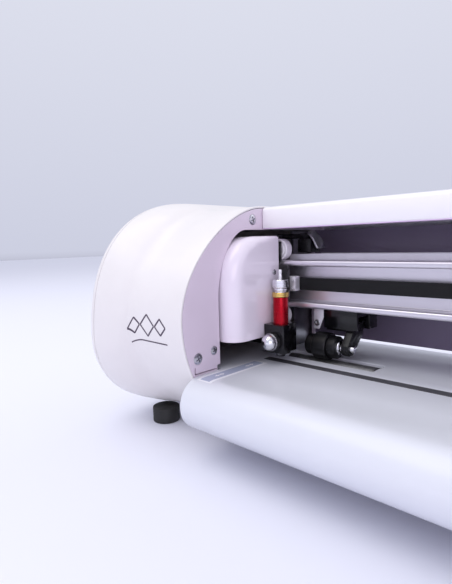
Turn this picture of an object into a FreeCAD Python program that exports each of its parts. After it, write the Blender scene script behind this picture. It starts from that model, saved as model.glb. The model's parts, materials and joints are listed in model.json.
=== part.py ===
import FreeCAD, Part
import math
import os
import re
import Sketcher

# Desktop vinyl cutter, 24 inch class: two end pods, a beam with a belt-driven carriage between them, a platen
# with a grit roller and pinch rollers. X runs along the beam, -Y faces the operator, +Z is up, millimetres.
# The origin is on the table, under the middle of the machine.

V = FreeCAD.Vector
doc = FreeCAD.newDocument("vinyl_cutter")

DIMENSIONS = {
    # inner plates and pods
    "plate_face": 360, "plate_depth": 3, "rim_wall": 1.2, "pod_wall": 3, "pod_shoulder": 404,
    "pod_end": 453.5,
    "side_gap": 0.6, "side_end": 470, "pod_base": 12,
    "rim_top": 172.9, "rim_front": -97, "rim_nose": 92, "rim_back": 98,
    "bulge_top": 182, "bulge_front": -108, "bulge_nose": 74, "bulge_back": 108,
    # platen
    "deck": 55, "platen_half": 359.5, "platen_wall": 2.5, "nose_radius": 18, "nose_start": -83,
    "rear_radius": 20, "rear_start": 76,
    # carriage park place: the axis of the blade
    "tool_x": -338.5, "tool_y": -17, "holder_radius": 5.7,
    # beam
    "beam_half": 398, "beam_low": 94.5, "beam_top": 130.5, "rail_front": -3, "web_front": 9, "beam_back": 39,
    "rail_height": 4.5,
    # carriage
    "cover_left": -400.5, "cover_right": -347.7, "cover_low": 74, "cover_top": 149.6, "cover_front": -58.5,
    "cover_back": -4.5, "upper_wheel": 8.3, "lower_wheel": 7.5, "wheel_front": -2, "wheel_back": 5.5,
    "axle_radius": 1.6, "wheel_near": -351.5, "wheel_far": -388, "running_gap": 0.05,
    # belt
    "belt_front": 3, "belt_depth": 1.4, "belt_low": 107.5, "belt_height": 9.5, "pulley_x": 412,
    "pulley_y": 12,
    # feed
    "grit_y": 7, "grit_radius": 8, "grit_rise": 0.2, "shaft_radius": 5, "roller_radius": 10.3,
    "gear_teeth": 57, "pinion_teeth": 19, "gear_module": 1, "pinion_y": 42.6, "pinion_z": 33.9,
    # pinch rollers
    "pinch_x": 318, "pivot_y": 33, "pivot_z": 83, "cam_y": 45, "cam_z": 92, "cam_half": 3,
    # top cover
    "cover_lip": 155.5, "lid_top": 172,
    # foot and stand bolts
    "foot_x": 425, "foot_y": 62, "foot_radius": 11, "stand_x": 300, "stand_front": -36, "stand_back": 52,
    "stand_hole": 2.2,
}

dims = doc.addObject("Spreadsheet::Sheet", "dims")
for row, (alias, value) in enumerate(DIMENSIONS.items(), 1):
    dims.set(f"A{row}", alias)
    dims.set(f"B{row}", str(value))
    dims.setAlias(f"B{row}", alias)
doc.recompute()

nodes = []


def full(text):
    """An expression with each dimension's name written as a cell of the sheet."""
    return re.sub(r"[a-z]\w*", lambda m: "dims." + m[0] if m[0] in DIMENSIONS else m[0], str(text))


def num(text):
    """The value of an expression."""
    found = dims.evalExpression(full(text))
    return float(getattr(found, "Value", found))


def keep(label, made):
    """Names a finished sub-part, which is written as parts/label.step."""
    made.Label = label
    nodes.append(made)
    return made


def place(made, **axes):
    for axis, text in axes.items():
        made.setExpression(f"Placement.Base.{axis}", full(text))
    return made


def block(x, y, z):
    """A box between pairs of expressions."""
    made = doc.addObject("Part::Box", "block")
    for size, (low, high) in zip(("Length", "Width", "Height"), (x, y, z)):
        made.setExpression(size, full(f"({high}) - ({low})"))
    return place(made, x=x[0], y=y[0], z=z[0])


TURNS = {
    "X": FreeCAD.Rotation(V(0, 1, 0), 90),
    "Y": FreeCAD.Rotation(V(1, 0, 0), -90),
    "Z": FreeCAD.Rotation(),
}


def rod(axis, centre, radius, low, high):
    """A cylinder along an axis. centre holds the two other coordinates, in X, Y, Z order."""
    made = doc.addObject("Part::Cylinder", "rod")
    made.setExpression("Radius", full(radius))
    made.setExpression("Height", full(f"({high}) - ({low})"))
    made.Placement.Rotation = TURNS[axis]
    where = list(centre)
    where.insert("XYZ".index(axis), low)
    return place(made, x=where[0], y=where[1], z=where[2])


def origin_plane(body, role):
    return [f for f in body.Origin.OriginFeatures if f.Role == role][0]


def outline(body, role, corners):
    """A closed sketch whose corners are held by expressions."""
    sketch = body.newObject("Sketcher::SketchObject", "outline")
    sketch.AttachmentSupport = [(origin_plane(body, role), "")]
    sketch.MapMode = "FlatFace"
    at = [V(num(a), num(b), 0) for a, b in corners]
    count = len(at)
    for i in range(count):
        sketch.addGeometry(Part.LineSegment(at[i], at[(i + 1) % count]))
    for i in range(count):
        sketch.addConstraint(Sketcher.Constraint("Coincident", i, 2, (i + 1) % count, 1))
    for i, corner in enumerate(corners):
        for kind, text, value in (("DistanceX", corner[0], at[i].x), ("DistanceY", corner[1], at[i].y)):
            held = sketch.addConstraint(Sketcher.Constraint(kind, -1, 1, i, 1, value))
            sketch.setExpression(f"Constraints[{held}]", full(text))
    return sketch


def lathe(axis, centre, corners):
    """A turned piece: corners are (radius, distance along the axis) from centre."""
    body = doc.addObject("PartDesign::Body", "turned")
    sketch = outline(body, "XZ_Plane", corners)
    turn = body.newObject("PartDesign::Revolution", "turn")
    turn.Profile = sketch
    turn.ReferenceAxis = (sketch, ["V_Axis"])
    turn.Angle = 360
    body.Placement.Rotation = TURNS[axis]
    return place(body, x=centre[0], y=centre[1], z=centre[2])


def prism(axis, corners, low, high):
    """A padded outline: along X its corners are (y, z), along Y (x, z), along Z (x, y)."""
    body = doc.addObject("PartDesign::Body", "padded")
    role = {"X": "YZ_Plane", "Y": "XZ_Plane", "Z": "XY_Plane"}[axis]
    pad = body.newObject("PartDesign::Pad", "pad")
    pad.Profile = outline(body, role, corners)
    pad.setExpression("Length", full(f"({high}) - ({low})"))
    pad.Reversed = axis == "Y"
    return place(body, **{axis.lower(): low})


def union(*parts):
    made = doc.addObject("Part::MultiFuse", "union")
    made.Shapes = list(parts)
    made.Refine = True
    return made


def minus(base, *tools):
    made = doc.addObject("Part::Cut", "cut")
    made.Base = base
    made.Tool = tools[0] if len(tools) == 1 else union(*tools)
    return made


def group(*parts):
    made = doc.addObject("Part::Compound", "group")
    made.Links = list(parts)
    return made


def mirrored(source):
    made = doc.addObject("Part::Mirroring", "mirrored")
    made.Source = source
    made.Normal = V(1, 0, 0)
    return made


def shaped(shape):
    """A piece whose shape comes from Part's own functions, because it is lofted or has curved outlines."""
    made = doc.addObject("Part::Feature", "shaped")
    made.Shape = shape
    return made


# ---- end pods ----------------------------------------------------------------------------------------------

# How far each curve of a pod's outline is pulled towards its corner: at the rim beside the inner plate, and at
# the bulge further out.
RIM_PULL = {"rise": 40.5, "top": 37.5, "fall": 42, "base": 26, "base_start": -39}
BULGE_PULL = {"rise": 68, "top": 62, "fall": 34, "base": 34, "base_start": -46}
TOP_START = -9
BACK_CORNER = 34


def bezier(*points):
    curve = Part.BezierCurve()
    curve.setPoles(list(points))
    return curve.toShape()


def pod_outline(x, share, inset=0.0, scale=1.0):
    """The pod's outline at x. share runs from 0 at the rim to 1 at the bulge, inset moves the outline inwards and
    scale draws it towards its middle."""
    def mix(a, b):
        return a + (b - a) * share
    top = mix(num("rim_top"), num("bulge_top")) - inset
    front = mix(num("rim_front"), num("bulge_front")) + inset
    nose = mix(num("rim_nose"), num("bulge_nose"))
    back = mix(num("rim_back"), num("bulge_back")) - inset
    base = num("pod_base") + inset
    pull = {k: mix(RIM_PULL[k], BULGE_PULL[k]) for k in RIM_PULL}
    corner = BACK_CORNER - inset
    round_pull = 0.5523 * corner
    middle = (num("bulge_top") + num("pod_base")) / 2

    def at(y, z):
        return V(x, y * scale, middle + (z - middle) * scale)
    edges = [
        bezier(at(front, nose), at(front, nose + pull["rise"]), at(TOP_START - pull["top"], top),
               at(TOP_START, top)),
        Part.makeLine(at(TOP_START, top), at(back - corner, top)),
        bezier(at(back - corner, top), at(back - corner + round_pull, top),
               at(back, top - corner + round_pull),
               at(back, top - corner)),
        Part.makeLine(at(back, top - corner), at(back, base + corner)),
        bezier(at(back, base + corner), at(back, base + corner - round_pull),
               at(back - corner + round_pull, base),
               at(back - corner, base)),
        Part.makeLine(at(back - corner, base), at(pull["base_start"], base)),
        bezier(at(pull["base_start"], base), at(pull["base_start"] - pull["base"], base),
               at(front, nose - pull["fall"]), at(front, nose)),
    ]
    return Part.Wire(edges)


def slab(x_low, x_high, share=0.0, inset=0.0):
    return Part.Face(pod_outline(x_low, share, inset)).extrude(V(x_high - x_low, 0, 0))


# Distance from the middle of the machine, and how far the outline has grown from rim to bulge.
SHOULDER = [(404, 0), (410, 0.03), (417, 0.16), (424.5, 0.48), (435.5, 0.78), (445, 0.93), (453.5, 1)]


def pod_form(inset, x_low, x_high):
    """The solid form of the right pod between two planes, inset from its skin."""
    flat = slab(x_low, SHOULDER[0][0], 0, inset)
    wires = [pod_outline(x, share, inset) for x, share in SHOULDER]
    form = flat.fuse(Part.makeLoft(wires, True, False))
    if x_high > SHOULDER[-1][0]:
        form = form.fuse(slab(SHOULDER[-1][0], x_high, 1, inset))
    return form


# Screws that hold the inner plate: (y, z, head radius)
PLATE_SCREWS = [(-21.8, 162.2, 3.9), (-82.5, 66.3, 3.9), (-66.9, 69.5, 3.1)]
SCREW_SHANK = 1.5
SCREW_LENGTH = 9.6
BOSS_RADIUS = 4.2
BOSS_LENGTH = 7.4


def screw_bosses():
    """Bosses inside the right pod, with ribs that tie them to its skin."""
    face = num("plate_face + plate_depth")
    made = None
    ribs = [(-24, -19.6, 162, 171), (-93, -66, 66, 69.6), (-70, -64, 66, 70)]
    for (y, z, _), (y0, y1, z0, z1) in zip(PLATE_SCREWS, ribs):
        boss = Part.makeCylinder(BOSS_RADIUS, BOSS_LENGTH, V(face, y, z), V(1, 0, 0))
        rib = Part.makeBox(BOSS_LENGTH, y1 - y0, z1 - z0, V(face, y0, z0))
        made = boss.fuse(rib) if made is None else made.fuse(boss).fuse(rib)
    for y, z, _ in PLATE_SCREWS:
        made = made.cut(Part.makeCylinder(SCREW_SHANK, BOSS_LENGTH, V(face, y, z), V(1, 0, 0)))
    return made


def pod_shell():
    """The right pod's skin: open at both ends, with a rebate for the inner plate."""
    face, depth = num("plate_face"), num("plate_depth")
    wall = num("pod_wall")
    end = num("pod_end")
    skin = pod_form(0, face, end)
    hollow = pod_form(wall, face - 1, end + 5)
    rebate = slab(face - 1, face + depth, 0, num("rim_wall"))
    inside = pod_form(wall - 0.5, face, end)
    ribs = screw_bosses().common(inside)
    return skin.cut(hollow).cut(rebate).fuse(ribs)


DOME = [(0, 1.0), (5, 0.993), (10.5, 0.962), (14.4, 0.9), (15.9, 0.8)]


def side_panel():
    """The right pod's outer end: a domed cap with a spigot that fits inside the skin."""
    start = num("pod_end + side_gap")
    skin = 2.5
    outer = Part.makeLoft([pod_outline(start + x, 1, 0, s) for x, s in DOME], True, False)
    inner = Part.makeLoft([pod_outline(start - 0.5 + x * 0.84, 1, skin, s) for x, s in DOME], True, False)
    spigot_length = 6
    gap = num("pod_wall") + 0.8
    ring = slab(start - spigot_length, start + 1, 1, gap).cut(slab(start - spigot_length - 1, start + 2, 1,
                                                                   gap + 2))
    return outer.cut(inner).fuse(ring)


CONSOLE_TILT = 26
CONSOLE_CENTRE = (405, -55, 170.5)
CONSOLE_SIZE = (68, 56, 26)
CONSOLE_CORNER = 7


def console_place(x, u, depth):
    """A point on the console: x and u from its middle along and up the slope, depth below its top."""
    turn = FreeCAD.Placement(V(*CONSOLE_CENTRE), FreeCAD.Rotation(V(1, 0, 0), CONSOLE_TILT))
    return turn.multVec(V(x, u, -depth)), turn.Rotation


def tilted_box(x, u, top, size):
    """A box on the console with its middle at x, u and its top at that depth."""
    corner, turn = console_place(x - size[0] / 2, u - size[1] / 2, top + size[2])
    made = Part.makeBox(*size)
    made.Placement = FreeCAD.Placement(corner, turn)
    return made


def console_form(inset, rise):
    """The console's block, its corners rounded, with its top raised above the slope."""
    size = (CONSOLE_SIZE[0] - 2 * inset, CONSOLE_SIZE[1] - 2 * inset, CONSOLE_SIZE[2] + rise - inset)
    made = tilted_box(0, 0, -rise, size)
    up = console_place(0, 0, 0)[1].multVec(V(0, 0, 1))
    upright = [e for e in made.Edges if abs(e.tangentAt(e.FirstParameter).dot(up)) > 0.99]
    return made.makeFillet(CONSOLE_CORNER - inset, upright)


shell = pod_shell()
inlet_cut = Part.makeBox(28, 20, 46, V(371, 85, 50))
right_shell = shell.cut(console_form(0, 20)).cut(inlet_cut)
keep("left_pod_shell", mirrored(shaped(shell)))
keep("right_pod_shell", shaped(right_shell))
cap = side_panel()
keep("right_side_panel", shaped(cap))
keep("left_side_panel", mirrored(shaped(cap)))


def inner_plate():
    """The right pod's inner plate, with the opening that the carriage and the beam pass through."""
    face, depth = num("plate_face"), num("plate_depth")
    deck = num("deck")
    plate = slab(face, face + depth, 0, num("rim_wall") + 0.1)
    far = face - 1
    opening = Part.Wire([
        Part.makeLine(V(far, -61.2, deck + 3.4), V(far, -61.2, 104)),
        bezier(V(far, -61.2, 104), V(far, -61.2, 128), V(far, -47, 154), V(far, -30, 154.6)),
        Part.makeLine(V(far, -30, 154.6), V(far, 62, 154.6)),
        Part.makeLine(V(far, 62, 154.6), V(far, 62, deck - 2.6)),
        Part.makeLine(V(far, 62, deck - 2.6), V(far, -64.2, deck - 2.6)),
        Part.makeLine(V(far, -64.2, deck - 2.6), V(far, -64.2, deck + 3.4)),
        Part.makeLine(V(far, -64.2, deck + 3.4), V(far, -61.2, deck + 3.4)),
    ])
    plate = plate.cut(Part.Face(opening).extrude(V(depth + 2, 0, 0)))
    plate = plate.cut(Part.makeBox(depth + 2, 134, 38.5, V(far, -53, 14)))
    slot_height = 1
    plate = plate.cut(Part.makeBox(depth + 2, 22, slot_height, V(far, -86, deck + 0.5)))
    plate = plate.cut(Part.makeBox(depth + 2, slot_height, 5, V(far, -86, deck + 1)))
    for y, z, head in PLATE_SCREWS:
        plate = plate.cut(Part.makeCylinder(SCREW_SHANK, depth + 2, V(far, y, z), V(1, 0, 0)))
        plate = plate.cut(Part.makeCone(head, SCREW_SHANK, head - SCREW_SHANK, V(face, y, z), V(1, 0, 0)))
    return plate


plate_shape = inner_plate()
keep("right_inner_plate", shaped(plate_shape))
keep("left_inner_plate", mirrored(shaped(plate_shape)))


def plate_screw(y, z, head):
    """A countersunk screw with a cross recess, pointing along +X."""
    face = num("plate_face")
    cone = head - SCREW_SHANK
    made = Part.makeCone(head, SCREW_SHANK, cone, V(face, y, z), V(1, 0, 0))
    made = made.fuse(Part.makeCylinder(SCREW_SHANK, SCREW_LENGTH, V(face, y, z), V(1, 0, 0)))
    arm, width, deep = head * 0.62, head * 0.24, head * 0.35
    made = made.cut(Part.makeBox(deep, 2 * arm, width, V(face, y - arm, z - width / 2)))
    return made.cut(Part.makeBox(deep, width, 2 * arm, V(face, y - width / 2, z - arm)))


screws = Part.makeCompound([plate_screw(*s) for s in PLATE_SCREWS])
keep("plate_screws", group(shaped(screws), mirrored(shaped(screws))))


# ---- frame -------------------------------------------------------------------------------------------------

PAN = ("14.5", "16.5")
PAN_Y = ("-51", "80")
MOTOR_X = ("324", "366")

pan = block(("-366", "366"), PAN_Y, PAN)
front_wall = block(("-358", "358"), ("-51", "-49"), ("16.5", "deck - platen_wall"))
rear_wall = block(("-358", "358"), ("74", "76"), ("16.5", "deck - platen_wall"))
cross_ribs = [block((f"{x} - 1", f"{x} + 1"), ("-49", "-6"), ("16.5", "deck - platen_wall"))
              for x in (-220, 0, 220)]
pan_vents = [block((f"{x}", f"{x} + 3"), ("-30", "0"), ("10", "20")) for x in range(-90, 91, 12)]
STAND_BOLTS = [(x, y) for x in ("-stand_x", "stand_x") for y in ("stand_front", "stand_back")]
stand_holes = [rod("Z", bolt, "stand_hole", "10", "24") for bolt in STAND_BOLTS]
stand_bosses = [rod("Z", bolt, "stand_hole + 2.8", "16", "23") for bolt in STAND_BOLTS]
board_posts = [rod("Z", (str(x), str(y)), "2.5", "16.5", "22") for x in (-114, 54) for y in (22, 66)]
# The pan's ends are eased where they lie on the pods' skins.
pan_eases = [block((low, high), y, z) for low, high in (("-367", "-359.9"), ("359.9", "367"))
             for y, z in ((("-52", "81"), ("14", "15.2")), (("64", "81"), ("14", "17")),
                          (("-52", "-42"), ("14", "17")))]
pan_pressed = minus(union(pan, *stand_bosses), *stand_holes, *pan_vents, *pan_eases)
keep("base_chassis", group(pan_pressed, front_wall, rear_wall, *cross_ribs, *board_posts))

# The platen is one folded sheet: a rolled nose, the flat bed and a rear edge that turns down.
HALF = ("-platen_half", "platen_half")
NOSE = ("nose_start", "deck - nose_radius")
REAR = ("rear_start", "deck - rear_radius")
bed = block(HALF, ("nose_start", "rear_start"), ("deck - platen_wall", "deck"))
nose = minus(rod("X", NOSE, "nose_radius", *HALF), rod("X", NOSE, "nose_radius - platen_wall", "-400", "400"),
             block(("-400", "400"), ("nose_start", "nose_start + 40"), ("0", "80")))
nose_return = block(HALF, ("nose_start", "-51.2"), ("deck - 2 * nose_radius",
                                                    "deck - 2 * nose_radius + platen_wall"))
tail = minus(rod("X", REAR, "rear_radius", *HALF), rod("X", REAR, "rear_radius - platen_wall", "-400", "400"),
             block(("-400", "400"), ("rear_start - 40", "rear_start"), ("0", "80")),
             block(("-400", "400"), ("0", "120"), ("0", "deck - rear_radius")))
GRIT_PLACES = [-310, -155, 0, 155, 310]
GRIT_HALF = 36
grit_slots = [block((f"{x} - 38", f"{x} + 38"), ("grit_y - 9.5", "grit_y + 9.5"), ("50", "60"))
              for x in GRIT_PLACES]
# The bed runs on under the parked carriage, through the left plate, round the bearing at its edge.
park_floor = minus(block(("-405", "-platen_half"), ("-60.5", "34"), ("deck - platen_wall", "deck")),
                   block(("-371.6", "-363.7"), ("grit_y - 10", "grit_y + 10"), ("50", "60")))
strip_groove = block(("-353", "353"), ("tool_y - 4", "tool_y + 4"), ("deck - 1", "deck + 5"))
keep("platen", minus(union(bed, park_floor, nose, nose_return, tail), *grit_slots, strip_groove))
keep("cutting_strip", block(("-352.9", "352.9"), ("tool_y - 3.95", "tool_y + 3.95"), ("deck - 1", "deck")))

label_strips = [block((f"{x}", f"{x} + 10.6"), ("-82.9", "-30"), ("deck", "deck + 0.15")) for x in ("-354.7",
                                                                                                    "344.1")]
keep("alignment_labels", group(*label_strips))

# The beam: a channelled extrusion with a rail above and a ridge below for the carriage's wheels.
section = [("rail_front", "beam_top - rail_height"), ("rail_front", "beam_top"), ("beam_back", "beam_top"),
           ("beam_back", "beam_low"), ("rail_front", "beam_low"), ("rail_front", "beam_low + rail_height"),
           ("web_front", "beam_low + rail_height"), ("web_front", "beam_top - rail_height")]
channel = block(("-400", "400"), ("web_front + 3", "web_front + 21"), ("102", "123"))
back_slot = block(("-400", "400"), ("beam_back - 3", "beam_back + 1"), ("109", "116"))
back_slot_inner = block(("-400", "400"), ("beam_back - 6", "beam_back - 2.5"), ("106", "119"))
keep("beam", minus(prism("X", section, "-beam_half", "beam_half"), channel, back_slot, back_slot_inner))

# The lid: a sheet with a rolled front edge, a lip under it and a shoulder that falls to the rear panel.
LID_HALF = ("-359.5", "359.5")
lid_outline = [
    ("-11", "cover_lip"), ("-11", "lid_top - 3.2"), ("-10.1", "lid_top - 1"), ("-8", "lid_top"), ("58",
                                                                                                  "lid_top"),
    ("69", "lid_top - 2.2"), ("77", "lid_top - 9"), ("80", "lid_top - 18"), ("77.5", "lid_top - 18"),
    ("74.8", "lid_top - 10.2"), ("68", "lid_top - 4.6"), ("58", "lid_top - 2.5"), ("-7.5", "lid_top - 2.5"),
    ("-8.5", "lid_top - 3.5"), ("-8.5", "cover_lip + 2"), ("4", "cover_lip + 2"), ("4", "cover_lip"),
]
lid_ribs = [block((f"{x} - 1", f"{x} + 1"), ("-8.6", "60"), ("cover_lip + 8",
                                                             "lid_top - 2.4")) for x in (-240, 0, 240)]
keep("top_cover", union(prism("X", lid_outline, *LID_HALF), *lid_ribs))
# The rear panel steps in under the lid and stops above the platen, so that the material leaves under its hem.
panel_outline = [("80", "lid_top - 18"), ("80", "lid_top - 20.5"), ("65", "lid_top - 20.5"), ("65", "63"),
                 ("72", "63"),
                 ("72", "61"), ("62.5", "61"), ("62.5", "lid_top - 18")]
vents = [block((f"{x}", f"{x} + 14"), ("60", "67"), (f"{z}", f"{z} + 2.5")) for x in range(-331, 330, 24)
         for z in (120, 128)]
lever_slot = block(("334", "357"), ("60", "75"), ("54", "99"))
keep("rear_panel", minus(prism("X", panel_outline, *LID_HALF), lever_slot, *vents))

# Bulkheads stand on the pan's ends and carry the beam, the shafts and the drives.
BULK = ("366", "369")
GRIT_AXIS = ("grit_y", "deck + grit_rise - grit_radius")
CAM_AXIS = ("cam_y", "cam_z")
PINION_AXIS = ("pinion_y", "pinion_z")


def bulkhead():
    low = block(BULK, ("-47", "78"), ("16.5", "52.2"))
    lug = block(BULK, ("grit_y - 9.5", "grit_y + 9.5"), ("52.2", "deck"))
    high = block(BULK, ("beam_back", "78"), ("52.2", "154"))
    foot = block(("366", "380"), ("38", "64"), ("15.2", "17"))
    corner = block(("365", "370"), ("64", "79"), ("16", "20"))
    bores = [rod("X", GRIT_AXIS, "7.2", "360", "375"), rod("X", CAM_AXIS, "5.5", "360", "375"),
             rod("X", PINION_AXIS, "11", "360", "375")]
    return minus(union(low, lug, high, foot), corner, *bores)


shelf = minus(block(("366", "436"), ("-9", "beam_back + 6"), ("131", "134")),
              rod("Z", ("pulley_x", "pulley_y"), "11", "130", "135"))
idler_low = block(("-424", "-398"), ("9", "30"), ("101", "104"))
idler_high = block(("-424", "-398"), ("9", "30"), ("121", "124"))
idler_back = block(("-424", "-398"), ("26", "30"), ("104", "121"))
idler_pin = rod("Z", ("-pulley_x", "pulley_y"), "2.4", "104", "121")
keep("pod_bulkheads", group(union(bulkhead(), shelf), mirrored(bulkhead()),
                            union(idler_low, idler_high, idler_back, idler_pin)))


def ring(centre, outer, inner, low, high):
    return minus(rod("X", centre, outer, low, high), rod("X", centre, inner, f"{low} - 1", f"{high} + 1"))


grit_ring = ring(GRIT_AXIS, "7.2", "shaft_radius + 0.05", "365", "370")
cam_ring = ring(CAM_AXIS, "5.5", "2.55", "365", "370")
keep("shaft_bearings", group(grit_ring, cam_ring, mirrored(grit_ring), mirrored(cam_ring)))

feet = []
for x in ("-foot_x", "foot_x"):
    for y in ("-foot_y", "foot_y"):
        pad = minus(rod("Z", (x, y), "foot_radius", "0", "pod_base"), rod("Z", (x, y), "3", "-1", "5"))
        feet.append(pad)
keep("rubber_feet", group(*feet))

# ---- drives and electrics ----------------------------------------------------------------------------------

BELT_Z = ("belt_low", "belt_low + belt_height")
BELT_RING = "pulley_y - belt_front"


def belt_turn(side):
    """Half a turn of belt round one pulley."""
    outer = rod("Z", (f"{side} * pulley_x", "pulley_y"), BELT_RING, *BELT_Z)
    inner = rod("Z", (f"{side} * pulley_x", "pulley_y"), f"{BELT_RING} - belt_depth", "100", "130")
    reach = ("pulley_x - 20", "pulley_x") if side > 0 else ("-pulley_x", "20 - pulley_x")
    return minus(outer, inner, block(reach, ("-10", "40"), ("100", "130")))


front_run = block(("-pulley_x", "pulley_x"), ("belt_front", "belt_front + belt_depth"), BELT_Z)
back_run = block(("-pulley_x", "pulley_x"), ("2 * pulley_y - belt_front - belt_depth",
                                             "2 * pulley_y - belt_front"),
                 BELT_Z)
keep("drive_belt", union(front_run, back_run, belt_turn(1), belt_turn(-1)))

PULLEY_CORE = "pulley_y - belt_front - belt_depth - 0.1"
FLANGE = "9.9"


def pulley(side, bore, top, stem):
    """A flanged pulley; the driven one carries its shaft, the idler has a bore."""
    low, high = "belt_low - 1.6", "belt_low + belt_height + 1.6"
    thick = "1.4"
    corners = [(bore, "0"), (FLANGE, "0"), (FLANGE, thick), (PULLEY_CORE, thick),
               (PULLEY_CORE, f"belt_height + 3.2 - {thick}"), (FLANGE, f"belt_height + 3.2 - {thick}"),
               (FLANGE, "belt_height + 3.2")]
    corners += [(stem, "belt_height + 3.2"), (stem, top), (bore, top)] if stem else [(bore,
                                                                                      "belt_height + 3.2")]
    return lathe("Z", (f"{side} * pulley_x", "pulley_y", low), corners)


keep("drive_pulley", pulley(1, "0", "34", "2.5"))
keep("idler_pulley", pulley(-1, "2.5", "0", ""))


def square_motor(x, y, z, chamfer_axis):
    body = doc.addObject("Part::Chamfer", "motor_body")
    base = block(x, y, z)
    doc.recompute()
    body.Base = base
    picks = []
    for i, edge in enumerate(base.Shape.Edges, 1):
        run = edge.Vertexes[1].Point - edge.Vertexes[0].Point
        if abs(run[chamfer_axis]) > 1:
            picks.append((i, 3.0, 3.0))
    body.Edges = picks
    base.Visibility = False
    return body


lift_motor = minus(union(square_motor(("391", "433"), ("-9", "33"), ("134", "168"), 2),
                         rod("Z", ("pulley_x", "pulley_y"), "10.8", "131.5", "135")),
                   rod("Z", ("pulley_x", "pulley_y"), "2.6", "130", "145"))
feed_motor = minus(union(square_motor(MOTOR_X, ("pinion_y - 17", "pinion_y + 17"),
                                      ("pinion_z - 17", "pinion_z + 17"), 0),
                         rod("X", PINION_AXIS, "10.8", "365", "368.5")),
                   rod("X", PINION_AXIS, "2.6", "355", "370"))
keep("drive_motors", group(lift_motor, feed_motor))


def gear(centre, teeth, bore, low, high):
    """A spur gear on an X axis, its teeth straight sided between root and tip."""
    count = int(num(teeth))
    module = num("gear_module")
    pitch = count * module / 2
    backlash = 0.1
    root, tip = pitch - 1.25 * module, pitch + 0.92 * module
    step = 2 * math.pi / count
    points = []
    for i in range(count):
        turn = i * step
        for radius, share in ((root, -0.36), (tip, -0.125), (tip, 0.125), (root, 0.36)):
            angle = turn + share * step - math.copysign(backlash / pitch / 2, share)
            points.append(V(low, centre[0] + radius * math.cos(angle), centre[1] + radius * math.sin(angle)))
    points.append(points[0])
    blank = Part.Face(Part.makePolygon(points)).extrude(V(high - low, 0, 0))
    return blank.cut(Part.makeCylinder(bore, high - low + 2, V(low - 1, *centre),
                                       V(1, 0, 0))) if bore else blank


GEAR_X = (372.2, 378)
grit_centre = (num("grit_y"), num(GRIT_AXIS[1]))
pinion_centre = (num("pinion_y"), num("pinion_z"))
wheel = gear(grit_centre, "gear_teeth", num("shaft_radius"), *GEAR_X)
for k in range(6):
    spot = V(GEAR_X[0] - 1, grit_centre[0] + 17 * math.cos(k * math.pi / 3),
             grit_centre[1] + 17 * math.sin(k * math.pi / 3))
    wheel = wheel.cut(Part.makeCylinder(5.2, 8, spot, V(1, 0, 0)))
mesh = math.atan2(pinion_centre[1] - grit_centre[1], pinion_centre[0] - grit_centre[0])
wheel_step = 2 * math.pi / num("gear_teeth")
pinion_step = 2 * math.pi / num("pinion_teeth")
wheel.rotate(V(0, *grit_centre), V(1, 0, 0), math.degrees(mesh - round(mesh / wheel_step) * wheel_step))
small = gear(pinion_centre, "pinion_teeth", 0, *GEAR_X)
back = mesh + math.pi
gap_turn = back - (round(back / pinion_step) + 0.5) * pinion_step
small.rotate(V(0, *pinion_centre), V(1, 0, 0), math.degrees(gap_turn))
small = small.fuse(Part.makeCylinder(2.5, GEAR_X[0] - 356, V(356, *pinion_centre), V(1, 0, 0)))
keep("feed_gear", shaped(wheel))
keep("feed_pinion", shaped(small))

grit_axle = rod("X", GRIT_AXIS, "shaft_radius", "-372", "378.2")
grit_bands = [rod("X", GRIT_AXIS, "grit_radius", f"{x} - {GRIT_HALF}",
                  f"{x} + {GRIT_HALF}") for x in GRIT_PLACES]
keep("grit_shaft", union(grit_axle, *grit_bands))

board = block(("-118", "58"), ("18", "70"), ("22", "23.6"))
chips = [block(("-96", "-78"), ("34", "52"), ("23.6", "25.4")),
         block(("-50", "-20"), ("28", "38"), ("23.6", "25")),
         block(("-6", "8"), ("30", "44"), ("23.6", "25")), block(("22", "48"), ("24", "30"), ("23.6", "32")),
         block(("-110", "-98"), ("56", "69"), ("23.6", "34")), block(("14", "34"), ("52", "64"),
                                                                     ("23.6", "38"))]
cans = [rod("Z", (str(x), "48"), "5", "23.6", "36") for x in (-62, -48, -34)]
keep("control_board", union(board, *chips, *cans))

# Console on the right pod
bezel = console_form(0.1, 0)
SCREEN = (50, 20)
SCREEN_AT = (0, 11)
KEYS = [("menu_key", -20), ("confirm_key", 0), ("stop_key", 20)]
KEY_ROW = -15
KEY_RADIUS = 6
bezel = bezel.cut(tilted_box(0, 0, 2.4, (CONSOLE_SIZE[0] - 5, CONSOLE_SIZE[1] - 5, CONSOLE_SIZE[2])))
bezel = bezel.cut(tilted_box(*SCREEN_AT, -3, (*SCREEN, 8)))


def tilted_rod(x, u, top, radius, length):
    corner, turn = console_place(x, u, top + length)
    made = Part.makeCylinder(radius, length)
    made.Placement = FreeCAD.Placement(corner, turn)
    return made


for name, x in KEYS:
    bezel = bezel.cut(tilted_rod(x, KEY_ROW, -3, KEY_RADIUS + 0.25, 8))
keep("control_panel", shaped(bezel))
keep("display_window", shaped(tilted_box(*SCREEN_AT, 0.4, (SCREEN[0] - 0.1, SCREEN[1] - 0.1, 1.8))))
for name, x in KEYS:
    cap = tilted_rod(x, KEY_ROW, -2.4, KEY_RADIUS, 6)
    cap = cap.makeFillet(1, [e for e in cap.Edges if e.Closed and e.CenterOfMass.z > cap.CenterOfMass.z])
    keep(name, shaped(cap))

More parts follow.
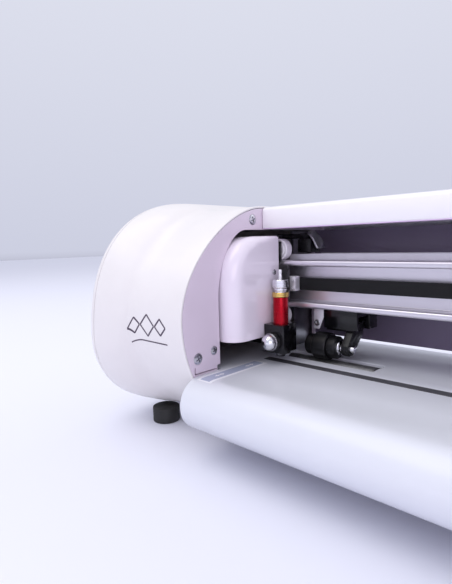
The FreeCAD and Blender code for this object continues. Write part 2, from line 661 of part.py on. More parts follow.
# Power inlet with its rocker, in the back of the right pod
socket_frame = minus(union(block(("371.1", "398.9"), ("87", "98"), ("50.1", "95.9")),
                           block(("369.5", "400.5"), ("98", "100"), ("48.5", "97.5"))),
                     block(("376", "394"), ("88.5", "101"), ("54", "70")),
                     block(("377", "393"), ("88.5", "101"), ("75.5", "92.5")))
pins = [block((f"{x} - 0.8", f"{x} + 0.8"), ("88", "97"), (f"{z} - 2", f"{z} + 2"))
        for x, z in ((379.5, 61), (385, 64.5), (390.5, 61))]
keep("power_inlet", union(socket_frame, *pins))
rocker = prism("X", [("93", "77.8"), ("101.6", "77.4"), ("99.6", "84"), ("99.4", "90.6"), ("93", "90.2")],
               "378", "392")
keep("power_switch", union(rocker, rod("X", ("95", "84"), "1.6", "377.2", "392.8")))

# ---- carriage ----------------------------------------------------------------------------------------------

AXLE_Z = {"upper": "beam_top + upper_wheel + running_gap", "lower": "beam_low - lower_wheel - running_gap"}
WHEELS = [("carriage_wheel_1", "wheel_near", "upper"), ("carriage_wheel_2", "wheel_far", "upper"),
          ("carriage_wheel_3", "wheel_near", "lower"), ("carriage_wheel_4", "wheel_far", "lower")]
PLATE_Y = ("-7", "-3.5")


def cover_outline(x, inset):
    """The carriage cover's section at x: a straight front that rolls over to the top."""
    front, back = num("cover_front") + inset, num("cover_back")
    top, low = num("cover_top") - inset, num("cover_low")
    corner = 8 - inset
    heel = num("cover_low") + 38
    return Part.Wire([
        Part.makeLine(V(x, back, low), V(x, front, low)),
        Part.makeLine(V(x, front, low), V(x, front, heel)),
        bezier(V(x, front, heel), V(x, front, heel + 24), V(x, -47 + inset / 2, top), V(x, -29, top)),
        Part.makeLine(V(x, -29, top), V(x, back - corner, top)),
        bezier(V(x, back - corner, top), V(x, back - corner / 2, top), V(x, back, top - corner / 2),
               V(x, back, top - corner)),
        Part.makeLine(V(x, back, top - corner), V(x, back, low)),
    ])


def side_edges(shape, x):
    """The edges of a side face that run round the front and over the top."""
    low, back = num("cover_low"), num("cover_back")
    found = []
    for edge in shape.Edges:
        box = edge.BoundBox
        if abs(box.XMin - x) > 0.01 or abs(box.XMax - x) > 0.01:
            continue
        if box.ZMax - box.ZMin < 0.01 and abs(box.ZMin - low) < 0.01:
            continue
        if box.YMax - box.YMin < 0.01 and abs(box.YMin - back) < 0.01:
            continue
        found.append(edge)
    return found


def cover_form(inset, corner):
    left, right = num("cover_left") + inset, num("cover_right") - inset
    form = Part.Face(cover_outline(left, inset)).extrude(V(right - left, 0, 0))
    return form.makeFillet(corner, side_edges(form, left) + side_edges(form, right))


cover_wall = 2.2
hollow = cover_form(cover_wall, 3.8)
hollow = hollow.fuse(Part.makeBox(60, 60, 3, V(-400.5 + cover_wall, -58.5 + cover_wall, 72.5)).common(
    Part.makeBox(48.4, 60, 3, V(-398.3, -56.3, 72.5))))
cover = cover_form(0, 6).cut(hollow)
back_cut = Part.makeBox(48.4, 12, 76, V(-398.3, -12, 73))
side_cut = Part.makeBox(8, 6, 65, V(-353, -7.2, 80.5))
cover = cover.cut(back_cut).cut(side_cut)
for row_z in (num(AXLE_Z["upper"]), num(AXLE_Z["lower"])):
    cover = cover.cut(Part.makeCylinder(3.1, 2, V(num("wheel_near"), -8.8, row_z), V(0, 1, 0)))
keep("carriage_cover", shaped(cover))

plate_wide = block(("-398.2", "-339.5"), PLATE_Y, ("99", "127"))
plate_tall = block(("-398.2", "-347"), PLATE_Y, ("81", "145"))
axle_holes = [rod("Y", (x, AXLE_Z[row]), "axle_radius", "-10", "0") for _, x, row in WHEELS]
lightening = [rod("Y", (str(x), "113"), "6", "-10", "0") for x in (-384, -367)]
keep("carriage_plate", minus(union(plate_wide, plate_tall), *axle_holes, *lightening))
axles = [union(rod("Y", (x, AXLE_Z[row]), "axle_radius", "-7", "5.3"),
               rod("Y", (x, AXLE_Z[row]), "2.9", "-8.6", "-7"),
               rod("Y", (x, AXLE_Z[row]), "2.5", "wheel_back + 0.1", "5.9")) for _, x, row in WHEELS]
keep("wheel_axles", group(*axles))
for name, x, row in WHEELS:
    tread = f"{row}_wheel"
    bore = "axle_radius + 0.05"
    keep(name, lathe("Y", (x, "wheel_front", AXLE_Z[row]), [
        (bore, "-0.9"), ("3.2", "-0.9"), ("3.2", "0.7"), (f"{tread} - 1.8", "0.7"), (f"{tread} - 1.2", "0"),
        (f"{tread} - 0.5", "0"), (tread, "0.5"), (tread, "7"), (f"{tread} - 0.5", "7.5"), (bore, "7.5")]))

clamp_body = block(("-341.5", "-335"), ("-3.5", "2.9"), ("107", "118.4"))
clamp_slots = [block((f"{x}", f"{x} + 0.8"), ("1.6", "4"), ("106", "120")) for x in (-340.4, -338.8, -337.2)]
clamp_bolts = [rod("Y", ("-337", str(z)), "1.3", "-4.6", "-3.4") for z in (109.6, 115.8)]
keep("belt_clamp", minus(union(clamp_body, *clamp_bolts), *clamp_slots))

GUIDE_X = [-376, -360]
guides = [rod("Z", (str(x), "-22"), "2", "76", "141") for x in GUIDE_X]
guide_feet = [block((f"{x} - 4", f"{x} + 4"), ("-25", "-7"), ("76", "79")) for x in GUIDE_X]
guide_head = block(("-380", "-356"), ("-25", "-7"), ("136", "140"))
keep("guide_rods", union(*guides, *guide_feet, guide_head))
coil = rod("Z", ("-389", "-32"), "8", "84", "112")
coil_ends = [rod("Z", ("-389", "-32"), "8.8", str(z), f"{z} + 2") for z in (82, 112)]
coil_arm = block(("-394", "-384"), ("-32", "-7"), ("114", "117"))
coil_core = rod("Z", ("-389", "-32"), "2.5", "78", "114.5")
keep("lift_coil", union(coil, *coil_ends, coil_arm, coil_core))

post = block(("-368", "-361"), ("-3.5", "-2"), ("132", "150"))
reach = block(("-368", "-361"), ("-2", "19"), ("148.4", "150"))
side_plate = prism("Y", [("-337.4", "151"), ("-336.4", "152.6"), ("-330.9", "146.4"), ("-327.4", "139.4"),
                         ("-328.6", "138.8"), ("-332.3", "145.6")], "17", "29")
keep("cable_bracket", group(union(post, reach), side_plate))
clamp_bar = block(("-368", "-337.5"), ("19", "27"), ("147", "151"))
clamp_neck = block(("-345.5", "-337.5"), ("18", "28"), ("146", "148"))
clamp_head = block(("-345.5", "-333.4"), ("16", "30"), ("136", "146.5"))
keep("cable_clamp", union(clamp_bar, clamp_neck, clamp_head))
TRAY_Y = ("14", "32")
tray_end = block(("-352", "-333.5"), TRAY_Y, ("beam_top", "beam_top + 4.2"))
tray = minus(block(("-333.5", "350"), TRAY_Y, ("beam_top", "beam_top + 4.5")),
             block(("-334", "351"), ("15", "31"), ("beam_top + 0.8", "140")))
ribbon = block(("-333.6", "349"), ("17", "29"), ("beam_top + 0.8", "beam_top + 1.7"))
keep("ribbon_cable", union(tray_end, tray, ribbon))

# ---- tool holder: rides up and down on the guide rods ------------------------------------------------------

TOOL_X = ("tool_x - 8", "tool_x + 10")
TOOL_Z = ("63", "84")
KNOB_Z = "72"
TOOL = ("tool_x", "tool_y")
HOLDER_BORE = "holder_radius + 0.02"

vee = minus(block(("tool_x - 8", "tool_x + 7"), ("-15", "-7.1"), TOOL_Z),
            rod("Z", TOOL, HOLDER_BORE, "50", "100"))
arm = block(("-378.5", "tool_x - 8"), ("-17", "-7.1"), ("66", "73"))
riser = block(("-371", "-365"), ("-19", "-12"), ("73", "84"))
bushing = minus(block(("-381", "-355"), ("-27", "-15"), ("84", "104")),
                *[rod("Z", (str(x), "-22"), "2.1", "80", "110") for x in GUIDE_X])
keep("tool_slide", union(vee, arm, riser, bushing))

jaw = minus(block(TOOL_X, ("-27", "-19"), TOOL_Z), rod("Z", TOOL, HOLDER_BORE, "50", "100"),
            rod("Y", ("tool_x + 1", KNOB_Z), "1.55", "-30", "-15"))
jaw_pins = [rod("Y", (f"tool_x + {x}", str(z)), "1", "-19.5", "-15") for x in (-6.9, 6.9) for z in (66, 81)]
keep("clamp_jaw", union(jaw, *jaw_pins))
keep("clamp_knob", lathe("Y", ("tool_x + 1", "-27.1", KNOB_Z), [
    ("0", "-11"), ("2.4", "-10.8"), ("4.4", "-9.6"), ("5.5", "-7.6"), ("5.7", "-5.6"), ("6.7", "-5.2"),
    ("6.7", "-0.8"), ("6.2", "-0.3"), ("5.4", "0"), ("1.5", "0"), ("1.5", "4.3"), ("0", "4.3")]))

keep("blade_holder", lathe("Z", ("tool_x", "tool_y", "0"), [
    ("1.35", "59"), ("3.2", "59"), ("5.1", "61.8"), ("holder_radius", "63"), ("holder_radius", "98"),
    ("holder_radius - 0.35", "98.5"), ("holder_radius - 0.35", "99.5"), ("holder_radius", "100"),
    ("holder_radius", "104"), ("4.5", "104"), ("4.5", "111"), ("1.35", "111")]))
keep("holder_collar", lathe("Z", ("tool_x", "tool_y", "104"), [
    ("4.5", "0"), ("5.9", "0"), ("6.25", "0.5"), ("6.25", "3.1"), ("5.9", "3.6"), ("4.5", "3.6")]))
keep("eject_pin", lathe("Z", ("tool_x", "tool_y", "0"), [
    ("0", "101.5"), ("1.25", "101.5"), ("1.25", "123.7"), ("0.8", "124.5"), ("0", "124.5")]))
flank = block(("tool_x + 0.15", "tool_x + 2"), ("tool_y - 2", "tool_y + 2"), ("57", "60.2"))
keep("cutting_blade", minus(lathe("Z", ("tool_x", "tool_y", "0"), [
    ("0", "58.2"), ("1.1", "60.4"), ("1.1", "100"), ("0", "100")]), flank))


def knurled(radius, bore, low, high, ridges):
    """A ring with a ridged rim, on the tool's axis."""
    middle = V(num("tool_x"), num("tool_y"), low)
    points = []
    for i in range(ridges * 2):
        reach = radius - (0.4 if i % 2 else 0)
        turn = math.pi * i / ridges
        points.append(middle + V(reach * math.cos(turn), reach * math.sin(turn), 0))
    points.append(points[0])
    rim = Part.Face(Part.makePolygon(points)).extrude(V(0, 0, high - low))
    form = Part.makeCone(radius - 0.5, radius, 0.6, middle, V(0, 0, 1))
    form = form.fuse(Part.makeCylinder(radius, high - low - 1.2, middle + V(0, 0, 0.6), V(0, 0, 1)))
    form = form.fuse(Part.makeCone(radius, radius - 0.6, 0.6, middle + V(0, 0, high - low - 0.6), V(0, 0, 1)))
    return rim.common(form).cut(Part.makeCylinder(bore, high - low + 2, middle - V(0, 0, 1), V(0, 0, 1)))


keep("depth_cap", shaped(knurled(5.9, 1.4, 111.05, 117, 26)))

# ---- pinch rollers -----------------------------------------------------------------------------------------

ROLLER_AXIS = ("grit_y", "deck + grit_rise + roller_radius + 0.05")
PIVOT = ("pivot_y", "pivot_z")
UNIT = ("-325.5", "-289")


def pinch_block():
    """Hangs under the beam: a saddle, two lugs for the arm's pivot and a bracket with a socket screw."""
    saddle = block(UNIT, ("8", "39"), ("89", "beam_low - 0.1"))
    apron = block(("-316", UNIT[1]), ("7.2", "9.2"), ("79.5", "beam_low - 0.1"))
    lug_left = block((UNIT[0], "-316.6"), ("27", "39"), ("78", "89"))
    lug_right = block(("-292.9", UNIT[1]), ("27", "39"), ("78", "89"))
    pivot = rod("X", PIVOT, "2", *UNIT)
    bracket = prism("Y", [("-324.7", "77.6"), ("-319.8", "78"), ("-316.2", "87"), ("-316.2", "94"),
                          ("-324.7", "94")], "7", "8")
    head = minus(rod("Y", ("-321.8", "82.5"), "2.3", "6.3", "7"),
                 rod("Y", ("-321.8", "82.5"), "1.2", "6", "6.8"))
    return union(saddle, apron, lug_left, lug_right, pivot, bracket, head)


def pinch_arm():
    """Rocks on the block's pivot: the roller is in front and the cam bar presses the tail."""
    body = prism("X", [("10.6", "77.2"), ("26", "77.2"), ("34", "78.5"), ("41", "83"), ("49", "85.4"),
                       ("49", "88.1"),
                       ("41", "88.1"), ("38.5", "86.6"), ("30", "87"), ("24", "84.5"), ("10.6", "80.4")],
                 "-316", "-293.4")
    cheek = prism("X", [("2.5", "68"), ("2.5", "63"), ("5", "60.6"), ("10", "60.6"), ("26", "75"),
                        ("26", "80"),
                        ("12", "80")], "-299.4", "-293.4")
    return minus(union(body, cheek), rod("X", PIVOT, "2.1", "-330", "-280"),
                 rod("X", ROLLER_AXIS, "2.1", "-330", "-280"))


def pinch_roller():
    """A slim end under the bracket, the gripping ring, a second drum and the bright axle."""
    return lathe("X", ("-329", *ROLLER_AXIS), [
        ("0", "0"), ("7", "0"), ("8", "1"), ("8", "7.4"), ("roller_radius - 0.7", "7.4"), ("roller_radius",
                                                                                           "8.1"),
        ("roller_radius", "18.3"), ("roller_radius - 0.7", "19"), ("8.5", "19"), ("8.5", "25.5"), ("7.8",
                                                                                                   "26.2"),
        ("2", "26.2"), ("2", "38.7"), ("1.4", "39.2"), ("0", "39.2")])


keep("pinch_block_1", pinch_block())
keep("pinch_arm_1", pinch_arm())
keep("pinch_roller_1", pinch_roller())
keep("pinch_block_2", mirrored(pinch_block()))
keep("pinch_arm_2", mirrored(pinch_arm()))
keep("pinch_roller_2", mirrored(pinch_roller()))

cam_bar = block(("-360", "360"), ("cam_y - cam_half", "cam_y + cam_half"),
                ("cam_z - cam_half", "cam_z + cam_half"))
journals = rod("X", CAM_AXIS, "2.5", "-370", "370")
lever = block(("342", "349"), ("cam_y", "76"), ("cam_z - 2", "cam_z + 2"))
grip = block(("338", "353"), ("73", "86"), ("cam_z - 3.5", "cam_z + 3"))
keep("pinch_lever", union(cam_bar, journals, lever, grip))


# ---- check and write ---------------------------------------------------------------------------------------

doc.recompute()
for thing in doc.Objects:
    if "Invalid" in thing.State or "Error" in thing.State:
        raise RuntimeError(f"{thing.Label} did not compute")
os.makedirs("parts", exist_ok=True)
for thing in nodes:
    if thing.Shape.isNull() or not thing.Shape.isValid():
        raise RuntimeError(f"{thing.Label} has a bad shape")
    thing.Shape.exportStep(f"parts/{thing.Label}.step")
print(len(nodes), "sub-parts written")
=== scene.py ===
import json
import math

import bmesh
import bpy
from mathutils import Euler, Matrix, Vector


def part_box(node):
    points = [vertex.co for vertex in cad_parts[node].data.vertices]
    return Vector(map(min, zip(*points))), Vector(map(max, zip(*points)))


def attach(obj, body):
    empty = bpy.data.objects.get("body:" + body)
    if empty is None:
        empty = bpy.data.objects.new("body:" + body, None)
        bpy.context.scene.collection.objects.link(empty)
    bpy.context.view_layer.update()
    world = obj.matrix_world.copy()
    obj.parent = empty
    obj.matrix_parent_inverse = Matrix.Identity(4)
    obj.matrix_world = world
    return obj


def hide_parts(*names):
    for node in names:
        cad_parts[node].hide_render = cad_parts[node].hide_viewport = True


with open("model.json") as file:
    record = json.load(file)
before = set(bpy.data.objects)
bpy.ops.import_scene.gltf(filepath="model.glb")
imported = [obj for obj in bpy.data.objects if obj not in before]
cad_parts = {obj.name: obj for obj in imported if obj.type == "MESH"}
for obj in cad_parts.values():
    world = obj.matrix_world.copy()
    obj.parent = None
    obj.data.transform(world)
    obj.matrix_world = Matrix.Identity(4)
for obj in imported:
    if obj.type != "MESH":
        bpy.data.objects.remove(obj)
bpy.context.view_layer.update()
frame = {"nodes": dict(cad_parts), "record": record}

nodes = frame["nodes"]
scene = bpy.context.scene

MM = 0.001


# ---- camera, light and floor ---------------------------------------------------------------------

CAMERA_PLACE = (-0.136727, -0.282962, 0.145493)
CAMERA_TURN = (83.669, 1.652, 44.013)
SENSOR_WIDTH, LENS = 36, 27.449
NEAREST = 0.01


def make_camera():
    """Close to the parked carriage, from its right front, level with the beam."""
    data = bpy.data.cameras.new("camera")
    data.sensor_width = SENSOR_WIDTH
    data.lens = LENS
    data.clip_start = NEAREST
    camera = bpy.data.objects.new("camera", data)
    scene.collection.objects.link(camera)
    place = Euler([math.radians(turn) for turn in CAMERA_TURN]).to_matrix().to_4x4()
    place.translation = CAMERA_PLACE
    camera.matrix_world = place
    scene.camera = camera


def area_light(name, at, aim, size, power, colour):
    """A rectangular lamp at one place, turned to face another."""
    data = bpy.data.lights.new(name, "AREA")
    data.shape = "RECTANGLE"
    data.size, data.size_y = size
    data.energy = power
    data.color = colour
    light = bpy.data.objects.new(name, data)
    light.location = at
    light.rotation_euler = (Vector(aim) - Vector(at)).to_track_quat("-Z", "Y").to_euler()
    scene.collection.objects.link(light)


SKY = [(0.0, (0.3, 0.27, 0.36)), (0.46, (0.2, 0.18, 0.25)), (0.495, (0.66, 0.68, 0.82)),
       (0.8, (0.82, 0.84, 0.95)), (1.0, (0.9, 0.9, 0.96))]
SKY_STRENGTH = 0.92
FLOOR_REACH = 6


def make_studio():
    """Soft light from high on the left, a cool backdrop, and a dim violet room for the metal to reflect."""
    world = bpy.data.worlds.new("studio")
    world.use_nodes = True
    tree = world.node_tree
    back = tree.nodes["Background"]
    where = tree.nodes.new("ShaderNodeTexCoord")
    split = tree.nodes.new("ShaderNodeSeparateXYZ")
    tree.links.new(where.outputs["Generated"], split.inputs[0])
    bands = tree.nodes.new("ShaderNodeValToRGB")
    ramp = bands.color_ramp
    while len(ramp.elements) < len(SKY):
        ramp.elements.new(0.5)
    for element, (at, colour) in zip(ramp.elements, SKY):
        element.position = at
        element.color = (*colour, 1)
    lift = tree.nodes.new("ShaderNodeMapRange")
    lift.inputs["From Min"].default_value = -1
    tree.links.new(split.outputs["Z"], lift.inputs["Value"])
    tree.links.new(lift.outputs["Result"], bands.inputs["Fac"])
    tree.links.new(bands.outputs["Color"], back.inputs["Color"])
    back.inputs["Strength"].default_value = SKY_STRENGTH
    scene.world = world
    scene.view_settings.view_transform = "Standard"
    area_light("key", (-0.9, -0.7, 1.7), (-0.36, 0, 0.1), (2.2, 1.6), 16.5, (1, 0.985, 0.96))
    area_light("fill", (0.9, -1.3, 0.5), (-0.3, 0, 0.1), (1.2, 0.8), 5, (0.95, 0.8, 0.95))
    area_light("rear", (0.2, 1.3, 1.2), (0, 0, 0.1), (2.0, 0.8), 4, (0.95, 0.95, 1))
    floor = bpy.data.meshes.new("floor")
    corners = [(x * FLOOR_REACH, y * FLOOR_REACH, 0) for x, y in ((-1, -1), (1, -1), (1, 1), (-1, 1))]
    floor.from_pydata(corners, [], [(0, 1, 2, 3)])
    ground = bpy.data.objects.new("floor", floor)
    scene.collection.objects.link(ground)
    floor.materials.append(simple_floor())


def simple_floor():
    """A pale matt paper, the same all over."""
    m = bpy.data.materials.new("floor_paper")
    m.use_nodes = True
    shader = m.node_tree.nodes["Principled BSDF"]
    shader.inputs["Base Color"].default_value = (0.8, 0.81, 0.9, 1)
    shader.inputs["Roughness"].default_value = 0.8
    return m


# ---- materials -----------------------------------------------------------------------------------

COAT_ROUGHNESS = 0.05
GRAIN_DEPTH = 0.0002


def surface(name, colour, rough, metal=0.0, coat=0.0, spread=0.02, rough_spread=0.05, scale=60.0,
            bump=0.0, bump_scale=900.0, stretch=(1, 1, 1), specular=0.5):
    """A finish with mottled colour and roughness, and a fine grain as bump."""
    m = bpy.data.materials.new(name)
    m.use_nodes = True
    tree = m.node_tree
    link = tree.links.new
    shader = tree.nodes["Principled BSDF"]
    shader.inputs["Metallic"].default_value = metal
    shader.inputs["Coat Weight"].default_value = coat
    shader.inputs["Coat Roughness"].default_value = COAT_ROUGHNESS
    shader.inputs["Specular IOR Level"].default_value = specular
    where = tree.nodes.new("ShaderNodeTexCoord")
    fit = tree.nodes.new("ShaderNodeMapping")
    fit.inputs["Scale"].default_value = stretch
    link(where.outputs["Object"], fit.inputs["Vector"])

    def noise(size, detail):
        n = tree.nodes.new("ShaderNodeTexNoise")
        n.inputs["Scale"].default_value = size
        n.inputs["Detail"].default_value = detail
        link(fit.outputs["Vector"], n.inputs["Vector"])
        return n.outputs["Fac"]

    def ramp(source, low, high):
        r = tree.nodes.new("ShaderNodeMapRange")
        r.inputs["From Min"].default_value = 0.3
        r.inputs["From Max"].default_value = 0.7
        r.inputs["To Min"].default_value = low
        r.inputs["To Max"].default_value = high
        link(source, r.inputs["Value"])
        return r.outputs["Result"]

    mottle = noise(scale, 4)
    tint = tree.nodes.new("ShaderNodeMix")
    tint.data_type = "RGBA"
    tint.inputs[6].default_value = (*[c * (1 - spread) for c in colour], 1)
    tint.inputs[7].default_value = (*[min(1, c * (1 + spread)) for c in colour], 1)
    link(ramp(mottle, 0, 1), tint.inputs[0])
    link(tint.outputs[2], shader.inputs["Base Color"])
    link(ramp(noise(scale * 2.3, 5), max(0.02, rough - rough_spread), rough + rough_spread),
         shader.inputs["Roughness"])
    if bump > 0:
        lift = tree.nodes.new("ShaderNodeBump")
        lift.inputs["Strength"].default_value = bump
        lift.inputs["Distance"].default_value = GRAIN_DEPTH
        link(noise(bump_scale, 3), lift.inputs["Height"])
        link(lift.outputs["Normal"], shader.inputs["Normal"])
    return m


FINISHES = {
    "white_shell": dict(colour=(0.8, 0.775, 0.77), rough=0.42, coat=0.12, spread=0.01, bump=0.02,
                        bump_scale=400),
    "white_cap": dict(colour=(0.79, 0.765, 0.76), rough=0.42, coat=0.12, spread=0.01, bump=0.02,
                      bump_scale=400),
    "plate_grey": dict(colour=(0.74, 0.64, 0.74), rough=0.3, rough_spread=0.015, spread=0.008, bump=0.12,
                       bump_scale=1400, coat=0.15),
    "white_sheet": dict(colour=(0.9, 0.88, 0.91), rough=0.3, rough_spread=0.02, spread=0.008, bump=0.1,
                        bump_scale=1500, coat=0.2),
    # painted shade: a dark violet-grey that stands for the shade on the rear panel
    "shade_sheet": dict(colour=(0.24, 0.2, 0.29), rough=0.35, spread=0.03, bump=0.1, bump_scale=1500),
    "bright": dict(colour=(0.86, 0.86, 0.88), rough=0.2, metal=0.6, spread=0.02, bump=0.02),
    # painted shade: a lilac that stands for the shaded, violet-lit underside of the white lid
    "lilac": dict(colour=(0.82, 0.64, 0.9), rough=0.4, spread=0.02, bump=0.02),
    "mark_grey": dict(colour=(0.07, 0.05, 0.08), rough=0.5, spread=0.02, bump=0.02),
    "dark_chrome": dict(colour=(0.3, 0.29, 0.31), rough=0.2, metal=1, spread=0.05, bump=0.03),
    "pale_ink": dict(colour=(0.55, 0.7, 0.72), rough=0.4, spread=0.02, bump=0.02),
    "paper_white": dict(colour=(0.86, 0.86, 0.9), rough=0.4, spread=0.01, bump=0.02),
    "platen_sheet": dict(colour=(0.72, 0.74, 0.8), rough=0.3, rough_spread=0.015, spread=0.008, bump=0.12,
                         bump_scale=1500, coat=0.15),
    "cover_white": dict(colour=(0.86, 0.79, 0.88), rough=0.12, coat=0.8, spread=0.01, bump=0.015,
                        bump_scale=350),
    "satin_silver": dict(colour=(0.72, 0.7, 0.74), rough=0.45, metal=0.55, spread=0.02, bump=0.03),
    "galvanised": dict(colour=(0.5, 0.51, 0.53), rough=0.38, metal=1, spread=0.12, scale=90, bump=0.1,
                       bump_scale=300),
    "steel": dict(colour=(0.5, 0.5, 0.52), rough=0.25, metal=1, spread=0.05, bump=0.06),
    "screw_steel": dict(colour=(0.62, 0.62, 0.66), rough=0.22, metal=1, spread=0.05, bump=0.05),
    "extrusion": dict(colour=(0.7, 0.67, 0.73), rough=0.34, metal=0.9, spread=0.04, stretch=(0.03, 1, 1),
                      bump=0.03, bump_scale=1200),
    "silver": dict(colour=(0.74, 0.74, 0.77), rough=0.24, metal=1, spread=0.04, bump=0.08),
    "black_alloy": dict(colour=(0.003, 0.003, 0.004), rough=0.22, spread=0.1, bump=0.02, coat=0.3,
                        specular=0.3),
    "black_plastic": dict(colour=(0.004, 0.004, 0.005), rough=0.28, specular=0.35, spread=0.1, bump=0.2,
                          bump_scale=1500),
    "strip": dict(colour=(0.07, 0.07, 0.08), rough=0.5, spread=0.1, bump=0.2),
    "label": dict(colour=(0.42, 0.46, 0.6), rough=0.45, spread=0.02, bump=0.02),
    "foot": dict(colour=(0.02, 0.02, 0.02), rough=0.75, spread=0.15, bump=0.3),
    "bearing": dict(colour=(0.6, 0.42, 0.2), rough=0.35, metal=1, spread=0.1, bump=0.1),
    "belt": dict(colour=(0.006, 0.006, 0.007), rough=0.55, specular=0.25, spread=0.1, bump=0.15,
                 bump_scale=2000),
    "motor": dict(colour=(0.02, 0.02, 0.022), rough=0.35, metal=0.3, spread=0.1, bump=0.1),
    "board": dict(colour=(0.01, 0.11, 0.045), rough=0.35, spread=0.2, scale=200, bump=0.05),
    "console": dict(colour=(0.02, 0.02, 0.025), rough=0.15, coat=0.7, spread=0.05, bump=0.02),
    "screen": dict(colour=(0.02, 0.05, 0.06), rough=0.06, coat=1, spread=0.05),
    "key": dict(colour=(0.55, 0.56, 0.6), rough=0.5, spread=0.03, bump=0.1),
    "red_key": dict(colour=(0.5, 0.02, 0.02), rough=0.5, spread=0.03, bump=0.1),
    "inlet": dict(colour=(0.015, 0.015, 0.015), rough=0.4, spread=0.1, bump=0.1),
    "ribbon": dict(colour=(0.75, 0.75, 0.8), rough=0.35, spread=0.03, bump=0.05),
    "wheel_white": dict(colour=(0.87, 0.84, 0.88), rough=0.3, spread=0.02, bump=0.05),
    "coil": dict(colour=(0.35, 0.12, 0.03), rough=0.35, metal=0.4, spread=0.1, bump=0.2),
    "red_anodised": dict(colour=(0.38, 0.0, 0.01), rough=0.25, metal=0.85, spread=0.03, bump=0.03,
                         coat=0.12),
    "gold": dict(colour=(0.72, 0.5, 0.16), rough=0.24, metal=1, spread=0.05, bump=0.05),
    "chrome": dict(colour=(0.82, 0.82, 0.85), rough=0.08, metal=1, spread=0.02, bump=0.01),
    "blade_steel": dict(colour=(0.6, 0.6, 0.63), rough=0.15, metal=1, spread=0.03, bump=0.02),
    "grit": dict(colour=(0.3, 0.3, 0.31), rough=0.5, metal=1, spread=0.2, scale=500, bump=0.8,
                 bump_scale=2500),
    "gear": dict(colour=(0.8, 0.77, 0.68), rough=0.4, spread=0.02, bump=0.05),
    "pinion_brass": dict(colour=(0.72, 0.5, 0.2), rough=0.28, metal=1, spread=0.05, bump=0.05),
    "roller_rubber": dict(colour=(0.004, 0.004, 0.005), rough=0.38, specular=0.35, spread=0.1, bump=0.3,
                          bump_scale=1800),
    "rocker_black": dict(colour=(0.015, 0.015, 0.016), rough=0.35, spread=0.05, bump=0.05),
}
finish = {name: surface(name, **how) for name, how in FINISHES.items()}
slot_of = {s["node"]: s["material_slot"] for s in frame["record"]["subparts"]}


def dress_nodes():
    """Gives each CAD node its finish."""
    for name, thing in nodes.items():
        thing.data.materials.clear()
        thing.data.materials.append(finish[slot_of[name]])


# ---- mesh helpers --------------------------------------------------------------------------------
# Shapes are written in millimetres, in the frame's own axes, and scaled to metres as each mesh is made.

BODIES = frame["record"]["behaviour"]["bodies"]
BODY_OF = {node: body for body, members in BODIES.items() for node in members}


def smooth(mesh, angle=35):
    """Shades a mesh smooth, but crisp where its faces meet at more than angle degrees."""
    mesh.polygons.foreach_set("use_smooth", [True] * len(mesh.polygons))
    mesh.set_sharp_from_angle(angle=math.radians(angle))


def make_mesh(name, points, faces, angle=35):
    """A mesh from millimetre points, with doubled points merged and its faces turned outwards."""
    mesh = bpy.data.meshes.new(name)
    mesh.from_pydata([tuple(c * MM for c in p) for p in points], [], faces)
    work = bmesh.new()
    work.from_mesh(mesh)
    bmesh.ops.remove_doubles(work, verts=work.verts, dist=1e-7)
    bmesh.ops.recalc_face_normals(work, faces=work.faces)
    work.to_mesh(mesh)
    work.free()
    smooth(mesh, angle)
    return mesh


def add_piece(name, mesh, body, slot, stands_for=(), material=None):
    """A visible piece that moves with a body and may stand for CAD nodes."""
    thing = bpy.data.objects.new(name, mesh)
    scene.collection.objects.link(thing)
    mesh.materials.clear()
    mesh.materials.append(material or finish[slot])
    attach(thing, body)
    if stands_for:
        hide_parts(*stands_for)
    return thing


def settled(thing, angle=35):
    """A mesh with the modifiers of an object worked in. The object itself is removed."""
    bpy.context.view_layer.update()
    graph = bpy.context.evaluated_depsgraph_get()
    mesh = bpy.data.meshes.new_from_object(thing.evaluated_get(graph))
    mesh.transform(thing.matrix_world)
    bpy.data.objects.remove(thing)
    smooth(mesh, angle)
    return mesh


def loose(mesh):
    """A mesh as an object of its own, for modifiers to work on."""
    thing = bpy.data.objects.new(mesh.name, mesh)
    scene.collection.objects.link(thing)
    return thing


def softened(mesh, width, segments=3, angle=32):
    """The same shape with its edges rounded."""
    thing = loose(mesh)
    edge = thing.modifiers.new("edges", "BEVEL")
    edge.width = width * MM
    edge.segments = segments
    edge.limit_method = "ANGLE"
    edge.angle_limit = math.radians(angle)
    edge.harden_normals = False
    return settled(thing)


def joined(*meshes):
    """One mesh from several."""
    work = bmesh.new()
    for mesh in meshes:
        work.from_mesh(mesh)
    made = bpy.data.meshes.new(meshes[0].name)
    work.to_mesh(made)
    work.free()
    smooth(made)
    return made


def carved(mesh, *cutters):
    """A mesh with others cut out of it."""
    thing = loose(mesh)
    tools = [loose(c) for c in cutters]
    for tool in tools:
        cut = thing.modifiers.new("cut", "BOOLEAN")
        cut.operation = "DIFFERENCE"
        cut.solver = "EXACT"
        cut.object = tool
    made = settled(thing)
    for tool in tools:
        bpy.data.objects.remove(tool)
    return made


def loft(name, rings, closed=True, looped=False, caps=False, angle=35):
    """A skin over rings of points. looped joins the last ring to the first, caps closes both ends."""
    size = len(rings[0])
    points = [p for ring in rings for p in ring]
    faces = []
    for k in range(len(rings) if looped else len(rings) - 1):
        a, b = k * size, (k + 1) % len(rings) * size
        for i in range(size if closed else size - 1):
            j = (i + 1) % size
            faces.append((a + i, a + j, b + j, b + i))
    if caps:
        faces.append(tuple(range(size)))
        last = (len(rings) - 1) * size
        faces.append(tuple(last + i for i in range(size)))
    return make_mesh(name, points, faces, angle)


def axis_point(axis, centre, radius, turn, along):
    """A point at a radius and turn round an axis through centre, some way along it."""
    a, b = radius * math.cos(turn), radius * math.sin(turn)
    x, y, z = centre
    if axis == "X":
        return (x + along, y + a, z + b)
    if axis == "Y":
        return (x + a, y + along, z + b)
    return (x + a, y + b, z + along)


